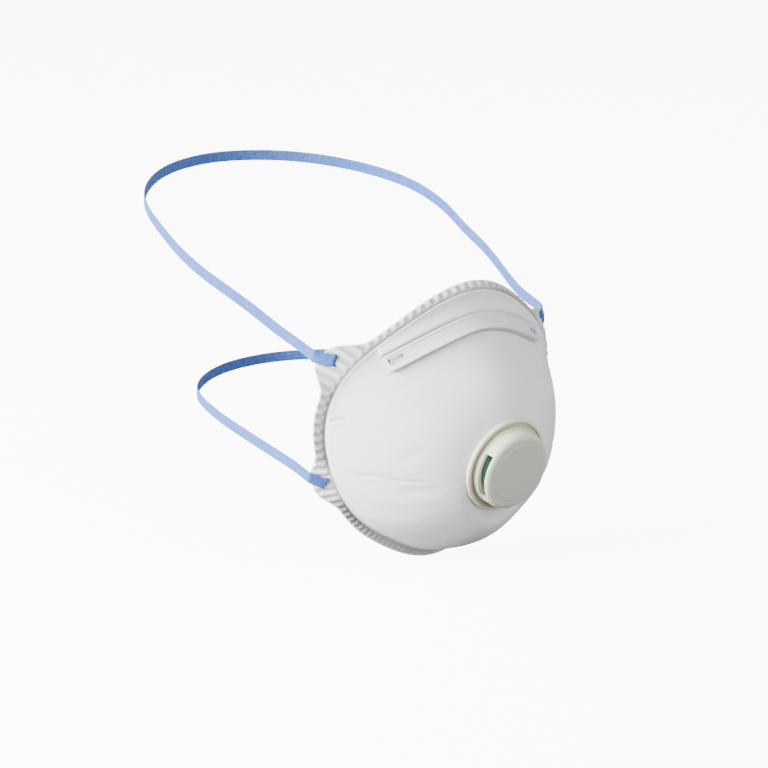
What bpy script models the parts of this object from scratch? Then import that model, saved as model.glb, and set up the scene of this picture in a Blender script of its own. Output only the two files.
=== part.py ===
"""Disposable moulded dust mask with an exhalation valve, a nose clip and an elastic head strap.

Metres, +Z up.  The mask faces -Y, the wearer's left is +X, and the origin is the middle of the
face opening, in the plane of symmetry.
"""
import math

import bmesh
import bpy
import numpy as np
from mathutils import Matrix, Vector

MM = 0.001
GAP = 0.3 * MM

# Face opening: the line where cup meets flange, in polar form about the valve, seen from the front
RIM_RADIUS = 57.5 * MM
RIM_WAVES = (11.0 * MM, -0.1 * MM, -1.8 * MM, 0.8 * MM, 0.5 * MM, 0.95 * MM)
CHIN_SETBACK = 0.137
CHEEK_WRAP = 1.8

# Valve place: a flat seat pressed into the front of the cup
VALVE_Y = -34.5 * MM
VALVE_Z = -9.5 * MM
VALVE_TILT = math.radians(11)
PAD_RADIUS = 20.6 * MM
PAD_BLEND = 9.5 * MM
HOLE_RADIUS = 13.5 * MM

# Cup: how far it stands out, and how full and how square-shouldered it is at nose, cheek and chin
CUP_HEIGHT = 38.8 * MM
FULLNESS = (3.15, 2.86, 4.15)
SHOULDER = (2.13, 0.89, 0.95)
NOSE_RISE = 7.7 * MM
NOSE_SPREAD = 44.2 * MM
NOSE_FROM = 15.0 * MM
NOSE_BLEND = 35.0 * MM
NOSE_SHARE = 0.58
SHELL_THICKNESS = 0.9 * MM
FILTER_THICKNESS = 0.8 * MM
LINING_THICKNESS = 0.7 * MM
FILTER_DEPTH = SHELL_THICKNESS + 2.2 * GAP
LINING_DEPTH = FILTER_DEPTH + FILTER_THICKNESS + GAP
CUP_BACK = LINING_DEPTH + LINING_THICKNESS
LAYER_EDGE = 0.99
LAYER_COLUMNS = 40
CUP_ROWS = 9
LAYER_ROWS = 6

# Flange: it leans back from the cup, ribbed all round, with two strap tabs a side
FLANGE_LEAN = (math.radians(42), math.radians(42), math.radians(12))
FLANGE_WAVES = (4.32 * MM, 0.53 * MM, -0.39 * MM, -0.06 * MM, 0.14 * MM, 0.54 * MM)
RIB_COUNT = 104
RIB_HEIGHT = 0.35 * MM
RIB_START = 0.7 * MM
EDGE_BAND = 1.0 * MM
CUP_COLUMNS = RIB_COUNT // 2
FLANGE_COLUMNS = RIB_COUNT * 2
UPPER_TAB = {"angle": math.radians(52.2), "reach": 9.2 * MM, "spread": math.radians(7.9),
             "slit": (math.radians(51.7), 8.0 * MM), "lean": math.radians(-16),
             "bend": 3.5 * MM, "inside": 5.2 * MM}
LOWER_TAB = {"angle": math.radians(99.5), "reach": 5.3 * MM, "spread": math.radians(9.2),
             "slit": (math.radians(98.4), 3.8 * MM), "lean": math.radians(33),
             "bend": 2.5 * MM, "inside": 7.2 * MM}

# Elastic strap: one flat band in a loop through all four slits
STRAP_WIDTH = 5.0 * MM
STRAP_THICKNESS = 0.7 * MM
STRAP_STEP = 7.5 * MM
SLIT_LENGTH = 6.2 * MM
SLIT_BEND = 0.65 * MM
INSIDE_BEND = 3.6 * MM
INSIDE_LEAN = math.radians(25)
TONGUE_GAP = 2.9 * MM
UPPER_ROUTE = [(62.5, 15.2, 38.3), (62.5, 18.2, 39.1), (62.9, 24.0, 40.6), (64.1, 31.2, 43.0),
               (67.0, 44.7, 49.4), (70.0, 58.8, 55.3), (72.4, 75.8, 61.2), (74.0, 90.5, 68.0),
               (72.5, 105.0, 73.9), (69.0, 119.5, 78.0), (61.5, 136.0, 81.5), (50.0, 150.0, 84.5),
               (34.5, 162.0, 86.8), (17.0, 169.5, 88.0), (0.0, 172.0, 88.4)]
LOWER_ROUTE = [(64.0, 17.8, -13.1), (64.0, 20.8, -12.6), (63.9, 28.8, -11.5), (63.3, 43.2, -9.9),
               (61.8, 62.0, -8.3), (59.3, 84.4, -6.5), (53.2, 109.0, -4.7), (43.5, 123.5, -4.5),
               (30.0, 135.0, -4.5), (15.0, 142.0, -4.5), (0.0, 144.0, -4.5)]

# Nose clip: a moulded strip, thicker below, with raised rails and end windows, round a metal core
CLIP_Z = 47.0 * MM
CLIP_SLOPE = 0.565
CLIP_BEND = 11.0 * MM
CLIP_REACH = 39.4 * MM
CLIP_WIDTH = 7.0 * MM
CLIP_UPPER = 1.2 * MM
CLIP_LOWER = 2.3 * MM
RAIL_WIDTH = 1.0 * MM
RAIL_HEIGHT = 0.3 * MM
CLIP_STATIONS = 33
WINDOW_LENGTH = 6.6 * MM
WINDOW_WIDTH = 2.7 * MM
WINDOW_INSET = 0.9 * MM
CORE_WIDTH = 3.6 * MM
CORE_THICKNESS = 0.3 * MM
CORE_REACH = 29.0 * MM
FOAM_REACH = 28.0 * MM
FOAM_STATIONS = 17
FOAM_WIDTH = 9.0 * MM
FOAM_THICKNESS = 3.0 * MM
FOAM_CROWN = 0.7 * MM

# Valve: heights are above the shell's outer face along the valve axis
FLANGE_RADIUS = 20.25 * MM
BEAD_INNER = 18.6 * MM
BEAD_TOP = 2.3 * MM
FLOOR_TOP = 1.5 * MM
TUBE_RADIUS = 13.1 * MM
BORE_RADIUS = 12.1 * MM
TUBE_END = -4.9 * MM
LIP_TOP = 2.2 * MM
CATCH_INNER = 14.8 * MM
CATCH_OUTER = 15.5 * MM
CATCH_TOP = 3.6 * MM
HUB_RADIUS = 3.0 * MM
POST_RADIUS = 1.5 * MM
POST_TOP = 6.0 * MM
SPOKE_WIDTH = 1.6 * MM
DISC_RADIUS = 13.4 * MM
DISC_HOLE = 1.9 * MM
DISC_THICKNESS = 0.6 * MM
COVER_RADIUS = 16.9 * MM
COVER_LIP = 17.3 * MM
COVER_TOP = 9.6 * MM
COVER_PLATE = 1.4 * MM
COVER_ROUND = 1.4 * MM
BOSS_OUTER = 3.4 * MM
BOSS_INNER = 2.1 * MM
BOSS_END = 4.6 * MM
SLOT_LOW = 4.1 * MM
SLOT_HIGH = 8.0 * MM
SLOT_HALF = 9.3 * MM
SLOT_INNER = 12.0 * MM
CLAMP_RADIUS = 18.4 * MM
CLAMP_THICKNESS = 1.2 * MM
TURN_STEPS = 40

FINISHES = {
    "white_nonwoven": ((0.80, 0.81, 0.82), 0.9, 0.0),
    "filter_fleece": ((0.85, 0.86, 0.87), 0.95, 0.0),
    "soft_lining": ((0.82, 0.83, 0.84), 0.95, 0.0),
    "cream_plastic": ((0.74, 0.72, 0.64), 0.45, 0.0),
    "soft_aluminium": ((0.70, 0.71, 0.72), 0.4, 1.0),
    "grey_foam": ((0.55, 0.56, 0.58), 0.95, 0.0),
    "green_silicone": ((0.05, 0.25, 0.20), 0.5, 0.0),
    "blue_elastic": ((0.28, 0.42, 0.75), 0.85, 0.0),
}


def clear_scene():
    """Start from an empty scene."""
    for item in list(bpy.data.objects):
        bpy.data.objects.remove(item, do_unlink=True)


def make_collection(name):
    """Add a collection to the scene."""
    group = bpy.data.collections.new(name)
    bpy.context.scene.collection.children.link(group)
    return group


def finish_material(name, finish):
    """A piece's own Principled material, in one of the finishes."""
    colour, roughness, metallic = FINISHES[finish]
    material = bpy.data.materials.new(name + "_" + finish)
    material.use_nodes = True
    shader = material.node_tree.nodes["Principled BSDF"]
    shader.inputs["Base Color"].default_value = (*colour, 1.0)
    shader.inputs["Roughness"].default_value = roughness
    shader.inputs["Metallic"].default_value = metallic
    return material


def add_object(name, bm, group, finish=None):
    """Turn a bmesh into a named object with its finish."""
    mesh = bpy.data.meshes.new(name)
    bm.to_mesh(mesh)
    bm.free()
    item = bpy.data.objects.new(name, mesh)
    group.objects.link(item)
    if finish:
        mesh.materials.append(finish_material(name, finish))
        mesh.shade_smooth()
        mesh.set_sharp_from_angle(angle=math.radians(35))
    else:
        item.hide_render = True
        item.display_type = "WIRE"
    return item


def solidify(item, thickness):
    """Give an open surface its wall, grown inwards."""
    wall = item.modifiers.new("wall", "SOLIDIFY")
    wall.thickness = thickness
    wall.offset = -1.0
    wall.use_even_offset = True


def cut(item, cutter, operation="DIFFERENCE"):
    """Cut or join with another object."""
    step = item.modifiers.new(cutter.name, "BOOLEAN")
    step.operation = operation
    step.object = cutter


def unit(vectors):
    """Scale vectors to length one."""
    vectors = np.asarray(vectors, float)
    return vectors / np.linalg.norm(vectors, axis=-1, keepdims=True)


def smooth(value):
    """Smooth step from 0 to 1."""
    value = np.clip(value, 0.0, 1.0)
    return value * value * (3.0 - 2.0 * value)


# Shape of the face opening, cup and flange

def rim_radius(angle):
    """Distance from the valve to the foot of the cup, seen from the front; 0 is the nose."""
    waves = (size * np.cos((k + 1) * angle) for k, size in enumerate(RIM_WAVES))
    return RIM_RADIUS + sum(waves)


def face_depth(x, z):
    """How far back the rim lies: it follows the cheeks and runs back to the chin."""
    return CHEEK_WRAP * x * x - CHIN_SETBACK * z


def nose_to_chin(values, angle):
    """Run a value from nose by cheek to chin."""
    nose, cheek, chin = values
    turn = np.cos(angle)
    return cheek + (nose - chin) / 2 * turn + ((nose + chin) / 2 - cheek) * turn * turn


def nose_ledge(x, z, share):
    """How far the foot of the cup stands forward over the nose."""
    rise = smooth((z - NOSE_FROM) / NOSE_BLEND) * smooth((share - NOSE_SHARE) / (1.0 - NOSE_SHARE))
    return NOSE_RISE * np.exp(-(x / NOSE_SPREAD) ** 2) * rise


def cup_point(angle, share):
    """A point of the cup's outer face; share is 1 at the foot and 0 on the valve axis."""
    angle, share = np.broadcast_arrays(np.asarray(angle, float), np.asarray(share, float))
    reach = rim_radius(angle) * share
    x = reach * np.sin(angle)
    z = VALVE_Z + reach * np.cos(angle)
    crown = np.clip(1.0 - share ** nose_to_chin(FULLNESS, angle), 0.0, 1.0)
    height = CUP_HEIGHT * crown ** nose_to_chin(SHOULDER, angle)
    y = face_depth(x, z) - nose_ledge(x, z, share) - height
    off_axis = np.hypot(x, (z - VALVE_Z) / math.cos(VALVE_TILT))
    flat = 1.0 - smooth((off_axis - PAD_RADIUS) / PAD_BLEND)
    pad = VALVE_Y - (z - VALVE_Z) * math.tan(VALVE_TILT)
    return np.stack([x, y * (1.0 - flat) + pad * flat, z], axis=-1)


def cup_normal(angle, share):
    """Outward direction of the cup's outer face."""
    turn, step = 1e-3, 2e-3
    share = np.minimum(share, 1.0 - step)
    along = cup_point(angle + turn, share) - cup_point(angle - turn, share)
    across = cup_point(angle, share + step) - cup_point(angle, share - step)
    return unit(np.cross(along, across))


def front_to_cup(x, z):
    """Angle and share of the cup point that is seen at x, z from the front."""
    angle = np.arctan2(x, z - VALVE_Z)
    return angle, np.hypot(x, z - VALVE_Z) / rim_radius(angle)


def ring_shares(angle, rows, edge):
    """Shares of the rings from the valve hole and its pad out to the foot of the cup."""
    scale = np.hypot(np.sin(angle), np.cos(angle) / math.cos(VALVE_TILT)) * rim_radius(angle)
    pad = PAD_RADIUS / scale
    steps = [1.0 - (1.0 - (k + 1) / rows) ** 1.7 for k in range(rows)]
    return [HOLE_RADIUS / scale, pad] + [pad + (edge - pad) * step for step in steps]


def flange_width(angle):
    """Width of the flange, with its strap tabs."""
    width = sum(size * np.cos(k * angle) for k, size in enumerate(FLANGE_WAVES))
    side = np.abs((angle + math.pi) % (2 * math.pi) - math.pi)
    for tab in (UPPER_TAB, LOWER_TAB):
        width = width + tab["reach"] * np.exp(-np.abs((side - tab["angle"]) / tab["spread"]) ** 3)
    return width


def flange_way(angle):
    """Direction in which the flange runs from the foot of the cup, out and back."""
    lean = nose_to_chin(FLANGE_LEAN, angle)
    return np.stack([np.cos(lean) * np.sin(angle), np.sin(lean), np.cos(lean) * np.cos(angle)], axis=-1)


def flange_point(angle, out):
    """A point of the flange's front face, at a distance out from the foot of the cup."""
    angle, out = np.broadcast_arrays(np.asarray(angle, float), np.asarray(out, float))
    return cup_point(angle, 1.0) + out[..., None] * flange_way(angle)


def flange_normal(angle, out):
    """Outward direction of the flange's front face."""
    turn = 1e-3
    along = flange_point(angle + turn, out) - flange_point(angle - turn, out)
    return unit(np.cross(along, flange_way(angle)))


def flange_rings():
    """Rings of the flange: foot, ribs, smooth trimmed edge."""
    angle = np.arange(FLANGE_COLUMNS) * 2 * math.pi / FLANGE_COLUMNS
    flat = np.zeros(FLANGE_COLUMNS)
    rib = np.where(np.arange(FLANGE_COLUMNS) % 2 == 0, RIB_HEIGHT, 0.0)
    width = flange_width(angle)
    rings = []
    for out, raised in ((flat, flat), (flat + RIB_START, rib), (width - EDGE_BAND, rib), (width, flat)):
        rings.append(flange_point(angle, out) + raised[:, None] * flange_normal(angle, out))
    return rings


def tab_frame(tab, side):
    """Slit centre, front direction and strap direction on a tab; side is +1 on the wearer's left."""
    angle, reach = side * tab["slit"][0], tab["slit"][1]
    front = flange_normal(angle, reach)
    away = flange_way(angle)
    to_nose = side * np.cross(front, away)
    out = math.cos(tab["lean"]) * away + math.sin(tab["lean"]) * to_nose
    return flange_point(angle, reach), front, out


# Mesh builders

def add_rings(bm, rings, closed=True):
    """Join rings of points with quads; a finer next ring is met by many-sided faces."""
    rows = [[bm.verts.new(point) for point in ring] for ring in rings]
    for low, high in zip(rows, rows[1:]):
        ratio = len(high) // len(low)
        for k in range(len(low) if closed else len(low) - 1):
            after = (k + 1) % len(low)
            upper = [high[(k * ratio + j) % len(high)] for j in range(ratio + 1)]
            bm.faces.new([low[k], low[after]] + upper[::-1])
    return rows


def sweep(name, stations, profiles, group, finish, origin=(0.0, 0.0, 0.0)):
    """Loft closed profiles (sideways, outwards) along stations of point, side and outward."""
    bm = bmesh.new()
    rings = []
    for (point, side, outward), profile in zip(stations, profiles):
        rings.append([point - origin + side * u + outward * v for u, v in profile])
    rows = add_rings(bm, rings)
    bm.faces.new(rows[0][::-1])
    bm.faces.new(rows[-1])
    bmesh.ops.recalc_face_normals(bm, faces=bm.faces)
    item = add_object(name, bm, group, finish)
    item.location = origin
    return item


def turned(name, profile, group, finish, parent):
    """Turn a closed or axis-to-axis profile of radius and height about the parent's Z axis."""
    bm = bmesh.new()
    line = [bm.verts.new((radius, 0.0, height)) for radius, height in profile]
    for a, b in zip(line, line[1:]):
        bm.edges.new((a, b))
    if profile[0][0] > 0.0:
        bm.edges.new((line[-1], line[0]))
    item = add_object(name, bm, group, finish)
    screw = item.modifiers.new("turn", "SCREW")
    screw.steps = TURN_STEPS
    screw.render_steps = TURN_STEPS
    screw.use_merge_vertices = True
    screw.merge_threshold = 0.00001
    screw.use_smooth_shade = True
    item.parent = parent
    return item


def box_mesh(bm, size, matrix):
    """Add a box of a size, placed by a matrix."""
    bmesh.ops.create_cube(bm, size=1.0, matrix=matrix @ Matrix.Diagonal((*size, 1.0)))


def frame_matrix(origin, x_axis, y_axis, z_axis):
    """Matrix that places a box on three directions."""
    matrix = Matrix((x_axis, y_axis, z_axis)).transposed().to_4x4()
    matrix.translation = Vector(origin)
    return matrix


# Cup layers

def make_outer_shell(group, cutters):
    """Moulded outer cup, its ribbed flange and its slit tabs, in one piece."""
    angle = np.arange(CUP_COLUMNS) * 2 * math.pi / CUP_COLUMNS
    cup = [cup_point(angle, share) for share in ring_shares(angle, CUP_ROWS, 1.0)[:-1]]
    bm = bmesh.new()
    add_rings(bm, cup + flange_rings())
    shell = add_object("outer_shell", bm, group, "white_nonwoven")
    solidify(shell, SHELL_THICKNESS)
    slits = bmesh.new()
    for tab in (UPPER_TAB, LOWER_TAB):
        for side in (-1, 1):
            centre, front, out = tab_frame(tab, side)
            size = (STRAP_THICKNESS + 2 * GAP, SLIT_LENGTH, 8 * SHELL_THICKNESS)
            box_mesh(slits, size, frame_matrix(centre, out, np.cross(front, out), front))
    bmesh.ops.recalc_face_normals(slits, faces=slits.faces)
    cut(shell, add_object("slit_cutter", slits, cutters))


def make_layer(name, depth, thickness, group, finish):
    """An inner layer of the cup, at a depth under the outer face."""
    angle = np.arange(LAYER_COLUMNS) * 2 * math.pi / LAYER_COLUMNS
    rings = []
    for share in ring_shares(angle, LAYER_ROWS, LAYER_EDGE):
        rings.append(cup_point(angle, share) - depth * cup_normal(angle, share))
    bm = bmesh.new()
    add_rings(bm, rings)
    solidify(add_object(name, bm, group, finish), thickness)


# Nose clip

def clip_stations(reach, lift, count):
    """Stations along the clip's line on the cup, at a lift above the outer face."""
    x = np.linspace(-reach, reach, count)
    angle, share = front_to_cup(x, CLIP_Z + CLIP_BEND - np.hypot(CLIP_BEND, CLIP_SLOPE * x))
    outward = cup_normal(angle, share)
    line = cup_point(angle, share) + lift * outward
    along = unit(np.gradient(line, axis=0))
    side = unit(np.cross(along, outward))
    return list(zip(line, side, np.cross(side, along)))


def cup_height(station, across, lift):
    """How far the cup's outer face, raised by a lift, stands above a station at a place across it."""
    point, side, outward = station
    height = 0.0
    for _ in range(6):
        spot = point + side * across + outward * height
        angle, share = front_to_cup(spot[0], spot[2])
        normal = cup_normal(angle, share)
        height += ((cup_point(angle, share) - spot) @ normal + lift) / (outward @ normal)
    return height


def strip_profile(station):
    """Section of the clip's strip, its back fitted to the cup."""
    half, rail = CLIP_WIDTH / 2, CLIP_WIDTH / 2 - RAIL_WIDTH
    core = CORE_WIDTH / 2 + GAP
    recess = CORE_THICKNESS + GAP
    back = {across: cup_height(station, across, GAP) for across in (-half, -core, core, half)}
    upper = back[-half] + CLIP_UPPER
    slope = (back[half] + CLIP_LOWER - upper) / CLIP_WIDTH

    def face(across, sunk=0.0):
        return across, upper + slope * (across + half) - sunk

    return [(-half, back[-half]), (-core, back[-core]), (-core, back[-core] + recess),
            (core, back[core] + recess), (core, back[core]), (half, back[half]),
            face(half), face(rail), face(rail, RAIL_HEIGHT), face(-rail, RAIL_HEIGHT), face(-rail), face(-half)]


def core_profile(station):
    """Section of the clip's metal core, fitted to the cup."""
    half = CORE_WIDTH / 2
    low, high = cup_height(station, -half, GAP), cup_height(station, half, GAP)
    return [(-half, low), (half, high), (half, high + CORE_THICKNESS), (-half, low + CORE_THICKNESS)]


def make_nose_clip(group, cutters):
    """Moulded strip with rails and windows, its metal core, and the foam pad inside the cup."""
    stations = clip_stations(CLIP_REACH, 0.0, CLIP_STATIONS)
    profiles = [strip_profile(station) for station in stations]
    clip = sweep("nose_clip_strip", stations, profiles, group, "cream_plastic")
    windows = bmesh.new()
    inset = WINDOW_INSET + WINDOW_LENGTH / 2
    for end in (0, -1):
        point, side, outward = stations[end]
        along = np.cross(outward, side) * (1 if end == 0 else -1)
        centre = point + along * inset + outward * CLIP_UPPER
        size = (WINDOW_LENGTH, WINDOW_WIDTH, 4 * CLIP_LOWER)
        box_mesh(windows, size, frame_matrix(centre, along, side, outward))
    bmesh.ops.recalc_face_normals(windows, faces=windows.faces)
    cut(clip, add_object("window_cutter", windows, cutters))

    stations = clip_stations(CORE_REACH, 0.0, CLIP_STATIONS)
    profiles = [core_profile(station) for station in stations]
    sweep("nose_clip_core", stations, profiles, group, "soft_aluminium")

    half, drop = FOAM_WIDTH / 2, FOAM_THICKNESS
    stations = clip_stations(FOAM_REACH, -CUP_BACK - 2 * GAP, FOAM_STATIONS)
    profiles = []
    for station in stations:
        front = [(place, cup_height(station, place, -CUP_BACK - 2 * GAP)) for place in (-half, 0.0, half)]
        back = [(place, -drop - FOAM_CROWN * abs(place) / half) for place in (half * 0.8, -half * 0.8)]
        profiles.append(front + back)
    sweep("nose_foam_pad", stations, profiles, group, "grey_foam")


# Exhalation valve

def make_valve(group, cutters):
    """Valve seat, disc, cover and clamp ring, all turned about the valve axis."""
    axis = bpy.data.objects.new("valve_axis", None)
    axis.location = (0.0, VALVE_Y, VALVE_Z)
    axis.rotation_euler = (math.pi / 2 + VALVE_TILT, 0.0, 0.0)
    group.objects.link(axis)

    lip = (TUBE_RADIUS - BORE_RADIUS) / 4
    seat = turned("valve_seat", [
        (BEAD_INNER, BEAD_TOP), (FLANGE_RADIUS - GAP, BEAD_TOP), (FLANGE_RADIUS, BEAD_TOP - GAP),
        (FLANGE_RADIUS, GAP), (TUBE_RADIUS, GAP), (TUBE_RADIUS, TUBE_END), (BORE_RADIUS, TUBE_END),
        (BORE_RADIUS, LIP_TOP - lip), (BORE_RADIUS + lip, LIP_TOP), (TUBE_RADIUS, LIP_TOP),
        (TUBE_RADIUS + lip, FLOOR_TOP), (CATCH_INNER, FLOOR_TOP), (CATCH_INNER, CATCH_TOP),
        (CATCH_OUTER, CATCH_TOP), (CATCH_OUTER, FLOOR_TOP), (BEAD_INNER - GAP, FLOOR_TOP),
    ], group, "cream_plastic", axis)
    spokes = bmesh.new()
    span = BORE_RADIUS + TUBE_RADIUS
    middle = Matrix.Translation((0.0, 0.0, (FLOOR_TOP + GAP) / 2))
    box_mesh(spokes, (span, SPOKE_WIDTH, FLOOR_TOP - GAP), middle)
    across = add_object("spoke_across", spokes, cutters)
    spokes = bmesh.new()
    box_mesh(spokes, (SPOKE_WIDTH, span, FLOOR_TOP - GAP), middle)
    upright = add_object("spoke_upright", spokes, cutters)
    post = turned("seat_post", [
        (0.0, POST_TOP), (POST_RADIUS, POST_TOP), (POST_RADIUS, FLOOR_TOP + GAP),
        (HUB_RADIUS, FLOOR_TOP + GAP), (HUB_RADIUS, GAP / 2), (0.0, GAP / 2),
    ], cutters, None, axis)
    for piece in (across, upright, post):
        piece.parent = axis
        cut(seat, piece, "UNION")

    rest = LIP_TOP + GAP
    turned("valve_disc", [
        (DISC_HOLE, rest + DISC_THICKNESS), (DISC_RADIUS - GAP, rest + DISC_THICKNESS),
        (DISC_RADIUS, rest + DISC_THICKNESS / 2), (DISC_RADIUS, rest), (DISC_HOLE, rest),
    ], group, "green_silicone", axis)

    under = COVER_TOP - COVER_PLATE
    bottom = FLOOR_TOP + GAP
    inner = CATCH_OUTER + GAP
    edge = [(COVER_RADIUS - COVER_ROUND * (1 - math.sin(turn)), COVER_TOP - COVER_ROUND * (1 - math.cos(turn)))
            for turn in (math.radians(22.5 * k) for k in range(5))]
    cover = turned("valve_cover", [(0.0, COVER_TOP)] + edge + [
        (COVER_RADIUS, bottom + 4 * GAP), (COVER_LIP, bottom + 3 * GAP), (COVER_LIP, bottom),
        (inner, bottom), (inner, under), (BOSS_OUTER, under), (BOSS_OUTER, BOSS_END),
        (BOSS_INNER, BOSS_END), (BOSS_INNER, under), (0.0, under),
    ], group, "cream_plastic", axis)
    slots = bmesh.new()
    depth = COVER_LIP + 2 * MM - SLOT_INNER
    for side in (-1, 1):
        centre = (side * (SLOT_INNER + depth / 2), 0.0, (SLOT_LOW + SLOT_HIGH) / 2)
        box_mesh(slots, (depth, 2 * SLOT_HALF, SLOT_HIGH - SLOT_LOW), Matrix.Translation(centre))
    slot = add_object("slot_cutter", slots, cutters)
    slot.parent = axis
    cut(cover, slot)

    back = -CUP_BACK - GAP
    bore = TUBE_RADIUS + GAP
    turned("valve_clamp_ring", [
        (bore, back), (CLAMP_RADIUS, back), (CLAMP_RADIUS, back - CLAMP_THICKNESS / 2),
        (CLAMP_RADIUS - CLAMP_THICKNESS / 2, back - CLAMP_THICKNESS), (bore, back - CLAMP_THICKNESS),
    ], group, "cream_plastic", axis)


# Elastic strap

def band_stations(points, outward):
    """Stations of a flat band from its line and the directions that it faces."""
    along = unit(np.gradient(points, axis=0))
    side = unit(np.cross(outward, along))
    return list(zip(points, side, np.cross(along, side)))


def band_profile(half_width):
    """Flat section of the band."""
    half = STRAP_THICKNESS / 2
    return [(-half_width, -half), (half_width, -half), (half_width, half), (-half_width, half)]


def rounded_line(corners, facings, bends, steps=5):
    """A line through corners with rounded bends, and the direction that a band on it faces."""
    points, faces = [corners[0]], [facings[0]]
    for k, bend in enumerate(bends, start=1):
        before = unit(corners[k] - corners[k - 1])
        after = unit(corners[k + 1] - corners[k])
        turn = math.acos(float(np.clip(before @ after, -1.0, 1.0)))
        length = bend * math.tan(turn / 2)
        start, end = corners[k] - before * length, corners[k] + after * length
        for share in np.linspace(0.0, 1.0, steps):
            points.append((1 - share) ** 2 * start + 2 * share * (1 - share) * corners[k] + share ** 2 * end)
            faces.append((1 - share) * facings[k - 1] + share * facings[k])
    return np.array(points + [corners[-1]]), np.array(faces + [facings[-1]])


def route_points(route):
    """Half route in metres, then its mirror image: from the wearer's right round to the left."""
    half = np.array(route) * MM
    return np.concatenate([half * (-1, 1, 1), half[-2::-1]])


def smooth_route(points):
    """Even steps along a smooth curve through the points."""
    ends = np.concatenate([[2 * points[0] - points[1]], points, [2 * points[-1] - points[-2]]])
    curve = []
    for a, b, c, d in zip(ends, ends[1:], ends[2:], ends[3:]):
        for t in np.linspace(0.0, 1.0, 24, endpoint=False):
            curve.append(0.5 * (2 * b + (c - a) * t + (2 * a - 5 * b + 4 * c - d) * t ** 2
                                + (3 * b - a - 3 * c + d) * t ** 3))
    curve = np.array(curve + [points[-1]])
    travel = np.concatenate([[0.0], np.cumsum(np.linalg.norm(np.diff(curve, axis=0), axis=1))])
    even = np.linspace(0.0, travel[-1], round(travel[-1] / STRAP_STEP) + 1)
    return np.stack([np.interp(even, travel, curve[:, k]) for k in range(3)], axis=1), travel[-1]


def make_free_strap(name, route, group):
    """A free stretch of the band, from tab to tab, with a round tongue on each pivot."""
    points, length = smooth_route(route_points(route))
    half = STRAP_WIDTH / 2
    tongue = [math.radians(angle) for angle in (75, 50, 25)]
    start, end = unit(points[0] - points[1]), unit(points[-1] - points[-2])
    head = [points[0] + start * half * math.sin(turn) for turn in tongue]
    tail = [points[-1] + end * half * math.sin(turn) for turn in tongue[::-1]]
    widths = [half * math.cos(turn) for turn in tongue]
    line = np.concatenate([head, points, tail])
    along = np.gradient(line, axis=0)
    outward = np.stack([-along[:, 1], along[:, 0], np.zeros(len(line))], axis=1)
    profiles = [band_profile(width) for width in widths + [half] * len(points) + widths[::-1]]
    pivot = points[0] * (0, 1, 1)
    sweep(name, band_stations(line, outward), profiles, group, "blue_elastic", pivot)
    print(name, "free length", round(length / MM), "mm")


def strap_run(side):
    """Line of the band on one side: over the upper tab, through its slit, down inside, and out again."""
    level = RIB_HEIGHT + GAP + STRAP_THICKNESS / 2
    behind = SHELL_THICKNESS + GAP + STRAP_THICKNESS / 2
    outside = np.array((side, 0.0, 0.0))
    flat, steep = math.cos(INSIDE_LEAN), math.sin(INSIDE_LEAN)
    legs = []
    for tab, route in ((UPPER_TAB, UPPER_ROUTE), (LOWER_TAB, LOWER_ROUTE)):
        centre, front, out = tab_frame(tab, side)
        pivot = np.array(route[0]) * MM * (side, 1, 1)
        surface = centre + front * level
        edge = surface + out * (pivot[0] - surface[0]) / out[0]
        end = pivot - unit(pivot - edge) * TONGUE_GAP
        through = centre - front * behind
        corners = [end, edge, surface, through, through - (out * flat + front * steep) * tab["inside"]]
        legs.append((corners, [outside, front, -out, front * flat - out * steep]))
    (upper, upper_faces), (lower, lower_faces) = legs
    inside = unit(upper_faces[-1] + lower_faces[-1])
    corners = upper + lower[::-1]
    facings = upper_faces + [inside] + lower_faces[::-1]
    bends = [UPPER_TAB["bend"], SLIT_BEND, SLIT_BEND, INSIDE_BEND,
             INSIDE_BEND, SLIT_BEND, SLIT_BEND, LOWER_TAB["bend"]]
    return rounded_line(corners, facings, bends)


def make_strap_run(name, side, group):
    """The fixed stretch of the band on one side of the mask."""
    points, outward = strap_run(side)
    profiles = [band_profile(STRAP_WIDTH / 2)] * len(points)
    sweep(name, band_stations(points, outward), profiles, group, "blue_elastic")


def build():
    """Build every piece of the mask."""
    clear_scene()
    group = make_collection("disposable_dust_mask")
    cutters = make_collection("cutters")
    make_outer_shell(group, cutters)
    make_layer("filter_layer", FILTER_DEPTH, FILTER_THICKNESS, group, "filter_fleece")
    make_layer("inner_lining", LINING_DEPTH, LINING_THICKNESS, group, "soft_lining")
    make_nose_clip(group, cutters)
    make_valve(group, cutters)
    make_free_strap("upper_strap", UPPER_ROUTE, group)
    make_free_strap("lower_strap", LOWER_ROUTE, group)
    make_strap_run("strap_run_right", -1, group)
    make_strap_run("strap_run_left", 1, group)


build()
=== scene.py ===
import math

import bmesh
import bpy
import numpy as np
from mathutils import Matrix, Vector, noise


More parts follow.
